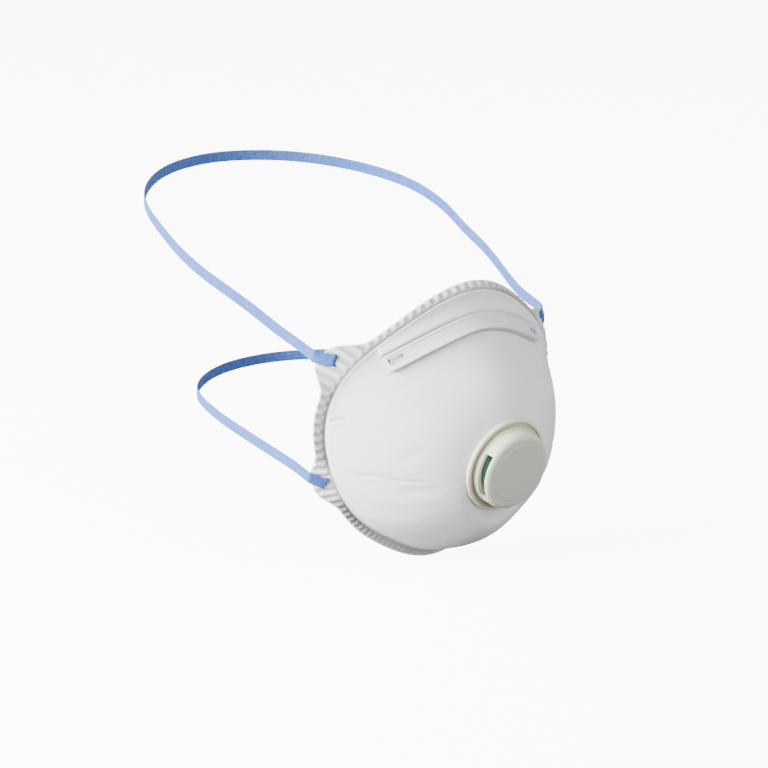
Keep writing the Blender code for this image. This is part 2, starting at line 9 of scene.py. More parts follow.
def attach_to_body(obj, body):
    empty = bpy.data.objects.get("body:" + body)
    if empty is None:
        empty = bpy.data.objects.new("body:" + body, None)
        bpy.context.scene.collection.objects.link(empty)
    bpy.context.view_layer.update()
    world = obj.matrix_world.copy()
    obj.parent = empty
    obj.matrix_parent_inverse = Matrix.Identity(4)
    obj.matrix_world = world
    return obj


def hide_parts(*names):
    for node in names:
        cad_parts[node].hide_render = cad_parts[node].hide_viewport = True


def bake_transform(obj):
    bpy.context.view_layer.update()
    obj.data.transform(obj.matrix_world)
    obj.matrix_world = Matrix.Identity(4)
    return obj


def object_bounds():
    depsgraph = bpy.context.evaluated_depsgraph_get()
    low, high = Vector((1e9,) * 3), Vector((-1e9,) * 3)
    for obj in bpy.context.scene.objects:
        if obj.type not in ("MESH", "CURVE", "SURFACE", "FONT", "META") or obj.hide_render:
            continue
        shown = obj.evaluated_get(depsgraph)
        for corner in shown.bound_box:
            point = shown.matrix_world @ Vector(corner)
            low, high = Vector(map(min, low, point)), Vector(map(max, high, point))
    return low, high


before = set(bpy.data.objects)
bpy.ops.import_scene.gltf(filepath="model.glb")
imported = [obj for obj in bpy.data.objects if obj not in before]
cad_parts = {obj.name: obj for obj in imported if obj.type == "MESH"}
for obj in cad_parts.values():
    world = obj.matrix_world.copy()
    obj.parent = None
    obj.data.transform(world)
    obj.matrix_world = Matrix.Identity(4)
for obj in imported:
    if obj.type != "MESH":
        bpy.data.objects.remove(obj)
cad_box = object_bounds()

MM = 0.001
MIRROR = np.array((-1.0, 1.0, 1.0))

# The photograph's view
PHOTO_FOCUS = (-18.6 * MM, 20.3 * MM, 15.1 * MM)
PHOTO_AZIMUTH = math.radians(-38.5)
PHOTO_ELEVATION = math.radians(16)
PHOTO_DISTANCE = 0.9
PHOTO_LENS = 100.4

# Face opening and cup, as in the solids
RIM_RADIUS = 57.5 * MM
RIM_WAVES = (11.0 * MM, -0.1 * MM, -1.8 * MM, 0.8 * MM, 0.5 * MM, 0.95 * MM)
CHIN_SETBACK = 0.137
CHEEK_WRAP = 1.8
VALVE_Y = -34.5 * MM
VALVE_Z = -9.5 * MM
VALVE_TILT = math.radians(11)
PAD_RADIUS = (17.5 * MM, 17.0 * MM, 20.6 * MM)
PAD_BLEND = (5.0 * MM, 5.0 * MM, 11.0 * MM)
SEAT_RADIUS = 20.25 * MM
HOLE_RADIUS = 13.5 * MM
CUP_HEIGHT = 38.8 * MM
FULLNESS = (3.15, 2.86, 4.15)
SHOULDER = (2.13, 0.89, 0.95)
NOSE_RISE = 7.7 * MM
NOSE_SPREAD = 44.2 * MM
NOSE_FROM = 15.0 * MM
NOSE_BLEND = 35.0 * MM
NOSE_SHARE = 0.58

# Layers of the cup
CUP_COLUMNS = 640
CUP_ROWS = 121
CUP_INNER_STEP = 12
RING_CROWDING = 1.35
CUP_WALL = 1.15 * MM
NOSE_DENSITY = 0.45
FOOT_BEAD = 0.1 * MM
FILTER_DEPTH = 1.56 * MM
FILTER_WALL = 0.8 * MM
FILTER_EDGE = 0.96
LINING_DEPTH = 2.66 * MM
LINING_WALL = 0.15 * MM
LINING_EDGE = 0.998
LINING_LIP = 2.4 * MM
LIP_START = 0.3 * MM
LIP_DEPTH = 1.06 * MM
LIP_WAVE = 0.06 * MM
PINCH_FROM = 0.93
PINCH_SPREAD = 0.07
PINCH_DEPTH = 1.1 * MM

# Flange, ribs and tabs
FLANGE_LEAN = (math.radians(42), math.radians(42), math.radians(12))
FLANGE_WAVES = (4.32 * MM, 0.53 * MM, -0.39 * MM, -0.06 * MM, 0.14 * MM, 0.54 * MM)
FLANGE_WALL = 0.75 * MM
FLANGE_TUCK = 0.8 * MM
TUCK_DEPTH = 0.5 * MM
FOOT_GROOVE = 0.35 * MM
FLANGE_ROWS = 26
RIB_COUNT = 104
RIB_COLUMNS = 10
RIB_HEIGHT = 0.75 * MM
RIB_FLANK = 0.9
RIB_SPAN = (-0.4, 0.6)
EDGE_BAND = 0.9 * MM
EDGE_ROLL = 0.28 * MM
BELOW_CHEEK = (88, 25)
UPPER_TAB = {"angle": math.radians(52.2), "reach": 9.2 * MM, "spread": math.radians(7.9),
             "slit": (math.radians(51.7), 8.0 * MM), "lean": math.radians(-16),
             "bend": 3.5 * MM, "inside": 5.2 * MM}
LOWER_TAB = {"angle": math.radians(99.5), "reach": 5.3 * MM, "spread": math.radians(9.2),
             "slit": (math.radians(98.4), 3.8 * MM), "lean": math.radians(33),
             "bend": 2.5 * MM, "inside": 7.2 * MM}
SLIT_LENGTH = 5.25 * MM
SLIT_WIDTH = 1.3 * MM
SLIT_DEPTH = 6.0 * MM

# Soft creases and folds pressed into the cup: points across and up, seen from the front
# A crease's grey is the painted shade laid along its line.
CREASES = [
    {"line": ((-53.9, -10.9), (-50.0, -12.1), (-48.1, -11.2), (-45.9, -11.5), (-43.0, -12.7),
              (-39.9, -12.6), (-30.0, -12.9)), "depth": 0.34, "width": 0.75, "fade": (3.0, 9.0),
     "grey": 0.45},
    {"line": ((-59.6, 10.0), (-58.0, 11.1), (-56.4, 11.7), (-54.6, 12.6)), "depth": 0.75, "width": 0.5,
     "fade": (0.6, 1.6), "grey": 0.7},
    {"line": ((-44.0, -2.5), (-33.0, 0.6)), "depth": 0.3, "width": 2.4, "fade": (5.0, 5.0)},
    {"line": ((-42.5, -17.9), (-26.0, -15.9)), "depth": 0.3, "width": 2.4, "fade": (5.0, 5.0)},
    {"line": ((-45.3, -25.8), (-31.5, -31.4)), "depth": 0.3, "width": 2.6, "fade": (5.0, 5.0)},
    {"line": ((33.0, -10.5), (51.0, -12.5)), "depth": 0.34, "width": 0.9, "fade": (6.0, 4.0), "grey": 0.4},
    {"line": ((44.0, 8.5), (57.0, 11.5)), "depth": 0.35, "width": 1.2, "fade": (5.0, 2.0), "grey": 0.3},
    {"line": ((26.0, -22.0), (40.0, -26.0)), "depth": 0.3, "width": 2.4, "fade": (5.0, 5.0)},
]
WAVE_SIZE = 26.0 * MM
WAVE_HEIGHT = 0.3 * MM

# Nose clip: a moulded strip, thicker below, fitted to the cup
CLIP_Z = 47.0 * MM
CLIP_SLOPE = 0.565
CLIP_BEND = 11.0 * MM
CLIP_REACH = 39.4 * MM
CLIP_WIDTH = 7.0 * MM
CLIP_FOOT = 0.3 * MM
CLIP_UPPER = 1.2 * MM
CLIP_LOWER = 2.3 * MM
RAIL_WIDTH = 1.0 * MM
RAIL_HEIGHT = 0.3 * MM
RAIL_SLOPE = 0.25 * MM
CLIP_STATIONS = 121
WINDOW_LENGTH = 6.6 * MM
WINDOW_WIDTH = 2.7 * MM
WINDOW_INSET = 0.9 * MM
CORE_HALF = 2.1 * MM
CORE_RECESS = 0.6 * MM
CLIP_ROUNDING = 0.14 * MM
CLIP_GROOVE = 0.3 * MM
CLIP_UNDERCUT = 0.7 * MM
LEDGE_HEIGHT = 1.4 * MM
LEDGE_FROM = 20.0 * MM
LEDGE_MARGIN = 6.0 * MM
FOAM_REACH = 28.0 * MM
FOAM_WIDTH = 9.0 * MM
FOAM_THICKNESS = 3.0 * MM
FOAM_DEPTH = 3.96 * MM

# Elastic strap
STRAP_WIDTH = 5.0 * MM
STRAP_THICKNESS = 0.7 * MM
STRAP_LEVEL = 1.0 * MM
STRAP_BEHIND = 1.55 * MM
STRAP_STEP = 2.0 * MM
SLIT_BEND = 0.65 * MM
INSIDE_BEND = 3.6 * MM
INSIDE_LEAN = math.radians(25)
EASE_PASSES = 12
WALE_COUNT = 9
WALE_HEIGHT = 0.06 * MM
STITCH_PITCH = 1.1
UPPER_ROUTE = [(62.5, 15.2, 38.3), (62.5, 18.2, 39.1), (62.9, 24.0, 40.6), (64.1, 31.2, 43.0),
               (67.0, 44.7, 49.4), (70.0, 58.8, 55.3), (72.4, 75.8, 61.2), (74.0, 90.5, 68.0),
               (72.5, 105.0, 73.9), (69.0, 119.5, 78.0), (61.5, 136.0, 81.5), (50.0, 150.0, 84.5),
               (34.5, 162.0, 86.8), (17.0, 169.5, 88.0), (0.0, 172.0, 88.4)]
LOWER_ROUTE = [(64.0, 17.8, -13.1), (64.0, 20.8, -12.6), (63.9, 28.8, -11.5), (63.3, 43.2, -9.9),
               (61.8, 62.0, -8.3), (59.3, 84.4, -6.5), (53.2, 109.0, -4.7), (43.5, 123.5, -4.5),
               (30.0, 135.0, -4.5), (15.0, 142.0, -4.5), (0.0, 144.0, -4.5)]

# Exhalation valve: radii, and heights above the cup along the valve axis
TURN_STEPS = 144
WEB_LENGTH = 25.0 * MM
WEB_WIDTH = 1.6 * MM
WEB_HEIGHT = 1.2 * MM
WEB_LEVEL = 0.9 * MM
COVER_ROUNDING = 0.18 * MM
VALVE_SLOT = {"low": 4.1 * MM, "high": 8.0 * MM, "half": 9.3 * MM, "inner": 12.0 * MM, "outer": 19.0 * MM}

# Stage and light
FLOOR_REACH = 40.0
FLOOR_GAP = 0.5 * MM
PAPER_GLOW = 9.0
LIGHT_SIZE = 1.2
KEY_PLACE = (-1.39, 0.45, 0.33)
KEY_POWER = 180.0
FILL_PLACE = (0.1, -1.37, 0.61)
FILL_POWER = 20.0
SKY_BELOW = 0.06
SKY_ABOVE = 0.74


# Small tools

def unit(vectors):
    """Scale vectors to length one."""
    vectors = np.asarray(vectors, float)
    return vectors / np.linalg.norm(vectors, axis=-1, keepdims=True)


def smooth(value):
    """Smooth step from 0 to 1."""
    value = np.clip(value, 0.0, 1.0)
    return value * value * (3.0 - 2.0 * value)


def beyond(value, start, spread):
    """0 to 1 from a start over a spread, both in millimetres."""
    return smooth((value - start * MM) / (spread * MM))


def bell(value, centre, width):
    """1 at a centre, falling to 0 on both sides over a width, both in millimetres."""
    return np.exp(-((value - centre * MM) / (width * MM)) ** 2)


def corner_point(start, corner, end, share):
    """A point of a rounded corner, at a share of the way from its start to its end."""
    return (1 - share) ** 2 * start + 2 * share * (1 - share) * corner + share ** 2 * end


def along_rows(first, second):
    """Dot product of two rows of vectors."""
    return np.einsum("ij,ij->i", first, second)


def travelled(points):
    """Distance along a line, at each of its points."""
    return np.concatenate([[0.0], np.cumsum(np.linalg.norm(np.diff(points, axis=0), axis=1))])


def new_object(name, data):
    """An object in the scene."""
    item = bpy.data.objects.new(name, data)
    bpy.context.scene.collection.objects.link(item)
    return item


def mesh_object(name, points, faces, material):
    """A smooth-shaded mesh object in the scene."""
    mesh = bpy.data.meshes.new(name)
    mesh.from_pydata(np.asarray(points).reshape(-1, 3).tolist(), [], faces)
    mesh.materials.append(material)
    mesh.shade_smooth()
    return new_object(name, mesh)


def grid_faces(rows, columns, looped=False):
    """Quads of a grid of rings, each joined to the next outwards, and the last to the first in a loop."""
    faces = []
    for row in range(rows if looped else rows - 1):
        low, high = row * columns, (row + 1) % rows * columns
        for k in range(columns):
            after = (k + 1) % columns
            faces.append((low + k, low + after, high + after, high + k))
    return faces


def turn_outwards(item, merge=True):
    """Turn the faces of a closed piece outwards; doubled points are merged and flat faces dropped first."""
    bm = bmesh.new()
    bm.from_mesh(item.data)
    if merge:
        bmesh.ops.remove_doubles(bm, verts=bm.verts, dist=1e-7)
        bmesh.ops.dissolve_degenerate(bm, dist=1e-8, edges=bm.edges)
        flat = [face for face in bm.faces if face.calc_area() < 1e-14]
        bmesh.ops.delete(bm, geom=flat, context="FACES")
    bmesh.ops.recalc_face_normals(bm, faces=bm.faces)
    bm.to_mesh(item.data)
    bm.free()
    item.data.shade_smooth()
    return item


def freeze(item):
    """Make a piece with modifiers a plain mesh."""
    graph = bpy.context.evaluated_depsgraph_get()
    mesh = bpy.data.meshes.new_from_object(item.evaluated_get(graph))
    item.modifiers.clear()
    item.data = mesh
    return item


def add_wall(item, thickness):
    """Give an open surface its thickness, grown to the inside."""
    wall = item.modifiers.new("wall", "SOLIDIFY")
    wall.thickness = thickness
    wall.offset = -1.0
    return freeze(item)


def cut(item, boxes, operation="DIFFERENCE"):
    """Cut boxes out of a piece, or join them to it; a box is a size and a matrix."""
    bm = bmesh.new()
    for size, matrix in boxes:
        bmesh.ops.create_cube(bm, size=1.0, matrix=matrix @ Matrix.Diagonal((*size, 1.0)))
    bmesh.ops.recalc_face_normals(bm, faces=bm.faces)
    mesh = bpy.data.meshes.new("cutter")
    bm.to_mesh(mesh)
    bm.free()
    cutter = new_object("cutter", mesh)
    step = item.modifiers.new("cut", "BOOLEAN")
    step.operation = operation
    step.object = cutter
    freeze(item)
    bpy.data.objects.remove(cutter)
    return item


def keep_sharp(item, angle):
    """Shade a piece smooth, apart from edges sharper than an angle."""
    item.data.shade_smooth()
    item.data.set_sharp_from_angle(angle=math.radians(angle))
    return item


def round_edges(item, width, angle=35):
    """Round the sharp edges of a piece."""
    edge = item.modifiers.new("edge", "BEVEL")
    edge.width = width
    edge.segments = 2
    edge.limit_method = "ANGLE"
    edge.angle_limit = math.radians(angle)
    edge.harden_normals = False
    return keep_sharp(freeze(item), 50)


def frame_matrix(origin, x_axis, y_axis, z_axis):
    """Matrix that places a box on three directions."""
    matrix = Matrix((x_axis, y_axis, z_axis)).transposed().to_4x4()
    matrix.translation = Vector(origin)
    return matrix


def store(item, name, values):
    """Keep a value at every point of a piece, for its material."""
    attribute = item.data.attributes.new(name, "FLOAT", "POINT")
    attribute.data.foreach_set("value", np.asarray(values, np.float32).ravel())


def attach(item, slot, *nodes, body="mask"):
    """Put a piece on its body, in place of its solids."""
    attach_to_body(item, body)
    if nodes:
        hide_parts(*nodes)
    return item


# Shape of the face opening, cup and flange

def rim_radius(angle):
    """Distance from the valve to the foot of the cup, seen from the front; 0 is the nose."""
    waves = (size * np.cos((k + 1) * angle) for k, size in enumerate(RIM_WAVES))
    return RIM_RADIUS + sum(waves)


def face_depth(x, z):
    """How far back the rim lies: it follows the cheeks and runs back to the chin."""
    return CHEEK_WRAP * x * x - CHIN_SETBACK * z


def nose_to_chin(values, angle):
    """Run a value from nose by cheek to chin."""
    nose, cheek, chin = values
    turn = np.cos(angle)
    return cheek + (nose - chin) / 2 * turn + ((nose + chin) / 2 - cheek) * turn * turn


def nose_ledge(x, z, share):
    """How far the foot of the cup stands forward over the nose."""
    rise = smooth((z - NOSE_FROM) / NOSE_BLEND) * smooth((share - NOSE_SHARE) / (1.0 - NOSE_SHARE))
    return NOSE_RISE * np.exp(-(x / NOSE_SPREAD) ** 2) * rise


def cup_point(angle, share):
    """A point of the cup's outer face; share is 1 at the foot and 0 on the valve axis."""
    angle, share = np.broadcast_arrays(np.asarray(angle, float), np.asarray(share, float))
    reach = rim_radius(angle) * share
    x = reach * np.sin(angle)
    z = VALVE_Z + reach * np.cos(angle)
    crown = np.clip(1.0 - share ** nose_to_chin(FULLNESS, angle), 0.0, 1.0)
    height = CUP_HEIGHT * crown ** nose_to_chin(SHOULDER, angle)
    y = face_depth(x, z) - nose_ledge(x, z, share) - height
    off_axis = np.hypot(x, (z - VALVE_Z) / math.cos(VALVE_TILT))
    flat = 1.0 - smooth((off_axis - nose_to_chin(PAD_RADIUS, angle)) / nose_to_chin(PAD_BLEND, angle))
    pad = VALVE_Y - (z - VALVE_Z) * math.tan(VALVE_TILT)
    return np.stack([x, y * (1.0 - flat) + pad * flat, z], axis=-1)


def cup_normal(angle, share):
    """Outward direction of the cup's outer face."""
    turn, step = 1e-3, 2e-3
    share = np.minimum(share, 1.0 - step)
    along = cup_point(angle + turn, share) - cup_point(angle - turn, share)
    across = cup_point(angle, share + step) - cup_point(angle, share - step)
    return unit(np.cross(along, across))


def front_to_cup(x, z):
    """Angle and share of the cup point that is seen at x, z from the front."""
    angle = np.arctan2(x, z - VALVE_Z)
    return angle, np.hypot(x, z - VALVE_Z) / rim_radius(angle)


def around(count):
    """Even angles round the valve."""
    return np.arange(count) * 2 * math.pi / count


def off_nose(angle):
    """Angle from the nose, the same on both sides."""
    return np.abs((angle + math.pi) % (2 * math.pi) - math.pi)


def past(angle, start, spread):
    """0 to 1 from an angle off the nose, in degrees, over a spread."""
    return smooth((off_nose(angle) - math.radians(start)) / math.radians(spread))


def cup_rings(angle, rows, edge):
    """Shares, points and outward directions of rings from the valve hole to an edge."""
    scale = np.hypot(np.sin(angle), np.cos(angle) / math.cos(VALVE_TILT)) * rim_radius(angle)
    start = HOLE_RADIUS / scale
    steps = 1.0 - (1.0 - np.linspace(0.0, 1.0, rows)[:, None]) ** RING_CROWDING
    share = start + (edge - start) * steps
    return share, cup_point(angle, share), cup_normal(np.broadcast_to(angle, share.shape), share)


def tab_share(angle):
    """How far out on a strap tab an angle lies, 0 to 1 for the upper and for the lower tab."""
    side = off_nose(angle)
    return [np.exp(-np.abs((side - tab["angle"]) / tab["spread"]) ** 3) for tab in (UPPER_TAB, LOWER_TAB)]


def flange_width(angle):
    """Width of the flange, with its strap tabs."""
    upper, lower = tab_share(angle)
    width = sum(size * np.cos(k * angle) for k, size in enumerate(FLANGE_WAVES))
    return width + UPPER_TAB["reach"] * upper + LOWER_TAB["reach"] * lower


def flange_way(angle):
    """Direction in which the flange runs from the foot of the cup, out and back."""
    lean = nose_to_chin(FLANGE_LEAN, angle)
    return np.stack([np.cos(lean) * np.sin(angle), np.sin(lean), np.cos(lean) * np.cos(angle)], axis=-1)


def flange_point(angle, out):
    """A point of the flange's plain front face, at a distance out from the foot of the cup."""
    angle, out = np.broadcast_arrays(np.asarray(angle, float), np.asarray(out, float))
    return cup_point(angle, 1.0) + out[..., None] * flange_way(angle)


def flange_normal(angle, out):
    """Outward direction of the flange's front face."""
    turn = 1e-3
    along = flange_point(angle + turn, out) - flange_point(angle - turn, out)
    return unit(np.cross(along, flange_way(angle)))


def tab_frame(tab, side):
    """Slit centre, front direction and strap direction on a tab; side is +1 on the wearer's left."""
    angle, reach = side * tab["slit"][0], tab["slit"][1]
    front = flange_normal(angle, reach)
    away = flange_way(angle)
    to_nose = side * np.cross(front, away)
    out = math.cos(tab["lean"]) * away + math.sin(tab["lean"]) * to_nose
    return flange_point(angle, reach), front, out


def clip_line(reach, count):
    """Points of the nose clip's line on the cup, with directions to the chin and outwards."""
    x = np.linspace(-reach, reach, count)
    angle, share = front_to_cup(x, CLIP_Z + CLIP_BEND - np.hypot(CLIP_BEND, CLIP_SLOPE * x))
    outward = cup_normal(angle, share)
    line = cup_point(angle, share)
    along = unit(np.gradient(line, axis=0))
    side = unit(np.cross(along, outward))
    return line, side, np.cross(side, along)


def cup_height(line, side, outward, across, lift):
    """How far the cup's outer face, raised by a lift, stands above a line at a place across it."""
    height = np.zeros(len(line))
    for _ in range(6):
        spot = line + side * across + outward * height[:, None]
        angle, share = front_to_cup(spot[:, 0], spot[:, 2])
        normal = cup_normal(angle, share)
        height += (along_rows(cup_point(angle, share) - spot, normal) + lift) / along_rows(outward, normal)
    return height


# Materials

def new_material(name, roughness, **constants):
    """A Principled material and its node tree; constants go straight to the shader's sockets."""
    material = bpy.data.materials.new(name)
    material.use_nodes = True
    shader = material.node_tree.nodes["Principled BSDF"]
    shader.inputs["Roughness"].default_value = roughness
    for socket, value in constants.items():
        shader.inputs[socket.replace("_", " ")].default_value = value
    return material, material.node_tree


def add(tree, kind, sockets=None, family="ShaderNode", **settings):
    """Add a node; sockets are values or outputs of other nodes."""
    item = tree.nodes.new(family + kind)
    for name, value in settings.items():
        setattr(item, name, value)
    for name, value in (sockets or {}).items():
        if isinstance(value, bpy.types.NodeSocket):
            tree.links.new(value, item.inputs[name])
        else:
            item.inputs[name].default_value = value
    return item


def maths(tree, operation, first, second=None):
    """A maths node on one or two values."""
    sockets = {0: first} if second is None else {0: first, 1: second}
    return add(tree, "Math", sockets, operation=operation).outputs[0]


def colour_ramp(tree, factor, stops):
    """Colours by position along a factor."""
    ramp = add(tree, "ValToRGB", {"Fac": factor})
    elements = ramp.color_ramp.elements
    while len(elements) < len(stops):
        elements.new(0.5)
    for element, (position, colour) in zip(elements, stops):
        element.position = position
        element.color = (*colour, 1.0)
    return ramp.outputs["Color"]


def mix_colour(tree, name, first, second):
    """Mix two colours by a value kept at the points; the second may be plain or a node's output."""
    if isinstance(second, tuple):
        second = (*second, 1.0)
    share = add(tree, "Attribute", attribute_name=name).outputs["Fac"]
    return add(tree, "Mix", {0: share, 6: first, 7: second}, data_type="RGBA").outputs[2]


def object_noise(tree, scale, detail=3.0, roughness=0.6, distortion=0.0, stretch=(1.0, 1.0, 1.0),
                 turn=(0.0, 0.0, 0.0)):
    """Noise on the piece's own coordinates, scale in features a metre."""
    place = add(tree, "TexCoord").outputs["Object"]
    placed = add(tree, "Mapping", {"Vector": place, "Scale": stretch, "Rotation": turn})
    sockets = {"Vector": placed.outputs["Vector"], "Scale": scale, "Detail": detail,
               "Roughness": roughness, "Distortion": distortion}
    return add(tree, "TexNoise", sockets).outputs["Fac"]


def drive(tree, socket, value):
    """Run a node's output to a socket of the Principled shader."""
    tree.links.new(value, tree.nodes["Principled BSDF"].inputs[socket])


def finished(material, colour, height, strength, distance):
    """Give a material its colour, and fine relief from a height."""
    tree = material.node_tree
    relief = add(tree, "Bump", {"Height": height, "Strength": strength, "Distance": distance})
    drive(tree, "Normal", relief.outputs["Normal"])
    drive(tree, "Base Color", colour)
    return material


def fibre_height(tree):
    """Felted fibres lying in two directions, over a cloudy web."""
    first = object_noise(tree, 1500, 3.0, 0.65, 1.5, (1.0, 1.0, 0.35), (0.5, 0.3, 0.0))
    second = object_noise(tree, 1700, 3.0, 0.65, 1.5, (0.35, 1.0, 1.0), (0.0, 0.4, 0.6))
    web = object_noise(tree, 420, 4.0, 0.6)
    fibres = maths(tree, "MAXIMUM", first, second)
    return maths(tree, "ADD", maths(tree, "MULTIPLY", fibres, 0.6), maths(tree, "MULTIPLY", web, 0.6)), web


def nonwoven(name, light, dark, relief=0.3, foot=None, pressed=None):
    """Thermoformed white nonwoven: felted fibres, matt, with a cloudy web; a painted highlight along the
    foot, and a pressed grey at the chin that also serves as painted shade along the nose clip and the
    creases.
    """
    material, tree = new_material(name, 0.9, Sheen_Weight=0.1, Sheen_Roughness=0.5,
                                  Specular_IOR_Level=0.25)
    height, web = fibre_height(tree)
    colour = colour_ramp(tree, web, [(0.3, dark), (0.62, light)])
    if foot:
        # Painted highlight: a brighter white along the cup's foot.
        colour = mix_colour(tree, "foot", colour, foot)
        # Pressed grey at the chin, also painted shade along the nose clip and the creases.
        colour = mix_colour(tree, "pressed", colour, pressed)
    return finished(material, colour, height, relief, 0.25 * MM)


def pressed_nonwoven(name):
    """The flange: the same web pressed thin and grey, white on the tabs, with painted highlight on rib
    crests and the trimmed edge and painted shade in the valleys and beside the cup.
    """
    material, tree = new_material(name, 0.8, Sheen_Weight=0.08, Sheen_Roughness=0.5,
                                  Specular_IOR_Level=0.3)
    height, web = fibre_height(tree)
    # Pressed grey, which also gives the painted shade in rib valleys and beside the cup.
    pressed = colour_ramp(tree, web, [(0.3, (0.165, 0.165, 0.172)), (0.65, (0.215, 0.215, 0.224))])
    # White of the tabs, also the painted highlight on rib crests and the trimmed edge.
    raised = colour_ramp(tree, web, [(0.3, (0.78, 0.785, 0.80)), (0.65, (0.88, 0.885, 0.90))])
    colour = mix_colour(tree, "white_and_painted_light", pressed, raised)
    return finished(material, colour, height, 0.3, 0.2 * MM)


def moulded_plastic(name, colour, shade, roughness=0.42, painted_light=None, plate_shade=None):
    """Satin injection-moulded plastic, a little uneven; marked places take painted light: painted shade in
    a groove, a painted reflection beside a slot, and painted shade on a flat face.
    """
    material, tree = new_material(name, roughness, Subsurface_Weight=0.12, Subsurface_Scale=0.002,
                                  Specular_IOR_Level=0.45)
    cloud = object_noise(tree, 140, 3.0, 0.55)
    grain = object_noise(tree, 2600, 2.0, 0.5)
    tone = colour_ramp(tree, cloud, [(0.3, shade), (0.7, colour)])
    if plate_shade:
        tone = mix_colour(tree, "plate_shade", tone, plate_shade)
    if painted_light:
        tone = mix_colour(tree, "painted_light", tone, painted_light)
    gloss = add(tree, "MapRange", {"Value": cloud, "From Min": 0.3, "From Max": 0.7,
                                   "To Min": roughness - 0.06, "To Max": roughness + 0.1})
    drive(tree, "Roughness", gloss.outputs[0])
    return finished(material, tone, grain, 0.08, 0.05 * MM)


def silicone(name):
    """Thin green silicone of the valve disc."""
    material, tree = new_material(name, 0.5, Specular_IOR_Level=0.4)
    cloud = object_noise(tree, 300, 2.0, 0.5)
    tone = colour_ramp(tree, cloud, [(0.3, (0.075, 0.165, 0.135)), (0.7, (0.10, 0.205, 0.17))])
    return finished(material, tone, object_noise(tree, 1800, 2.0), 0.06, 0.05 * MM)


def foam(name):
    """Open-cell foam with fine pores."""
    material, tree = new_material(name, 0.95, Specular_IOR_Level=0.2)
    place = add(tree, "TexCoord").outputs["Object"]
    cells = add(tree, "TexVoronoi", {"Vector": place, "Scale": 1500.0}).outputs["Distance"]
    # Painted shade: darker in the pores.
    tone = colour_ramp(tree, cells, [(0.1, (0.26, 0.265, 0.28)), (0.6, (0.46, 0.465, 0.48))])
    return finished(material, tone, cells, 0.6, 0.4 * MM)


def brushed_strip(name):
    """Soft aluminium strip, brushed along its length."""
    material, tree = new_material(name, 0.38, Metallic=1.0)
    streak = object_noise(tree, 900, 3.0, 0.6, 0.0, (0.08, 1.0, 1.0))
    tone = colour_ramp(tree, streak, [(0.3, (0.58, 0.59, 0.60)), (0.7, (0.74, 0.75, 0.76))])
    return finished(material, tone, streak, 0.15, 0.05 * MM)


def knitted_elastic(name):
    """Flat knitted elastic: cords along the band, fine stitches across it, a little lighter where the knit
    stands higher.
    """
    material, tree = new_material(name, 0.8, Sheen_Weight=0.15, Sheen_Roughness=0.4,
                                  Specular_IOR_Level=0.3)
    place = add(tree, "SeparateXYZ", {0: add(tree, "TexCoord").outputs["UV"]})
    along, across = place.outputs[0], place.outputs[1]
    wale = maths(tree, "COSINE", maths(tree, "MULTIPLY", across, 2 * math.pi * WALE_COUNT))
    zigzag = maths(tree, "MULTIPLY", wale, 0.9)
    course = maths(tree, "MULTIPLY", along, 2 * math.pi / STITCH_PITCH)
    stitch = maths(tree, "SINE", maths(tree, "ADD", course, zigzag))
    height = maths(tree, "ADD", maths(tree, "MULTIPLY", stitch, 0.5), wale)
    cloud = object_noise(tree, 500, 4.0, 0.6)
    # Colour a little lighter where the knit stands higher and darker between the cords.
    level = maths(tree, "ADD", maths(tree, "MULTIPLY", height, 0.13), cloud)
    tone = colour_ramp(tree, level, [(0.25, (0.04, 0.10, 0.36)), (0.5, (0.06, 0.142, 0.45)),
                                     (0.75, (0.082, 0.178, 0.52))])
    return finished(material, tone, height, 0.35, 0.08 * MM)


# The cup's foot colour is a painted highlight; its pressed grey also lays painted shade along the clip's
# edges and in the creases.
CUP_WHITE = nonwoven("moulded_nonwoven", (0.868, 0.878, 0.895), (0.82, 0.83, 0.848), 0.4,
                     (0.93, 0.932, 0.94), (0.44, 0.44, 0.45))
FLANGE_GREY = pressed_nonwoven("pressed_nonwoven")
FLEECE = nonwoven("filter_fleece", (0.84, 0.845, 0.85), (0.79, 0.795, 0.80), 0.4)
LINING_WHITE = nonwoven("soft_lining", (0.82, 0.825, 0.835), (0.74, 0.745, 0.755), 0.45)
CLIP_CREAM = moulded_plastic("clip_plastic", (0.84, 0.85, 0.795), (0.80, 0.81, 0.75))
CREAM = moulded_plastic("cream_plastic", (0.70, 0.68, 0.515), (0.65, 0.63, 0.465))
# The seat's last colour is painted shade for its groove; the cover's last two are a painted reflection
# beside the slots and painted shade on its flat face.
SEAT_CREAM = moulded_plastic("seat_plastic", (0.77, 0.745, 0.58), (0.72, 0.695, 0.53), 0.42,
                             (0.56, 0.54, 0.40))
COVER_CREAM = moulded_plastic("cover_plastic", (0.70, 0.685, 0.53), (0.65, 0.635, 0.485), 0.42,
                              (0.58, 0.82, 0.69), (0.585, 0.60, 0.52))
GREEN = silicone("green_silicone")
FOAM_GREY = foam("grey_foam")
ALUMINIUM = brushed_strip("soft_aluminium")
BLUE_ELASTIC = knitted_elastic("blue_elastic")


# Cup, lining and filter

def crease_relief(x, z):
    """Soft creases and folds of the cup, inwards, with a raised lip below each, and the painted shade along
    each.
    """
    relief, grey = np.zeros((2, len(x)))
    for crease in CREASES:
        line = np.array(crease["line"]) * MM
        line = line[np.argsort(line[:, 0])]
        width, depth = crease["width"] * MM, crease["depth"] * MM
        off = (z - np.interp(x, line[:, 0], line[:, 1])) / width
        first, last = crease["fade"]
        ends = beyond(x - line[0, 0], 0.0, first) * beyond(line[-1, 0] - x, 0.0, last)
        line_share = ends * np.exp(-off ** 2)
        relief += depth * (0.4 * ends * np.exp(-(off + 2.1) ** 2) - line_share)
        # Painted shade along the crease line.
        grey = np.maximum(grey, crease.get("grey", 0.0) * line_share)
    return relief, grey


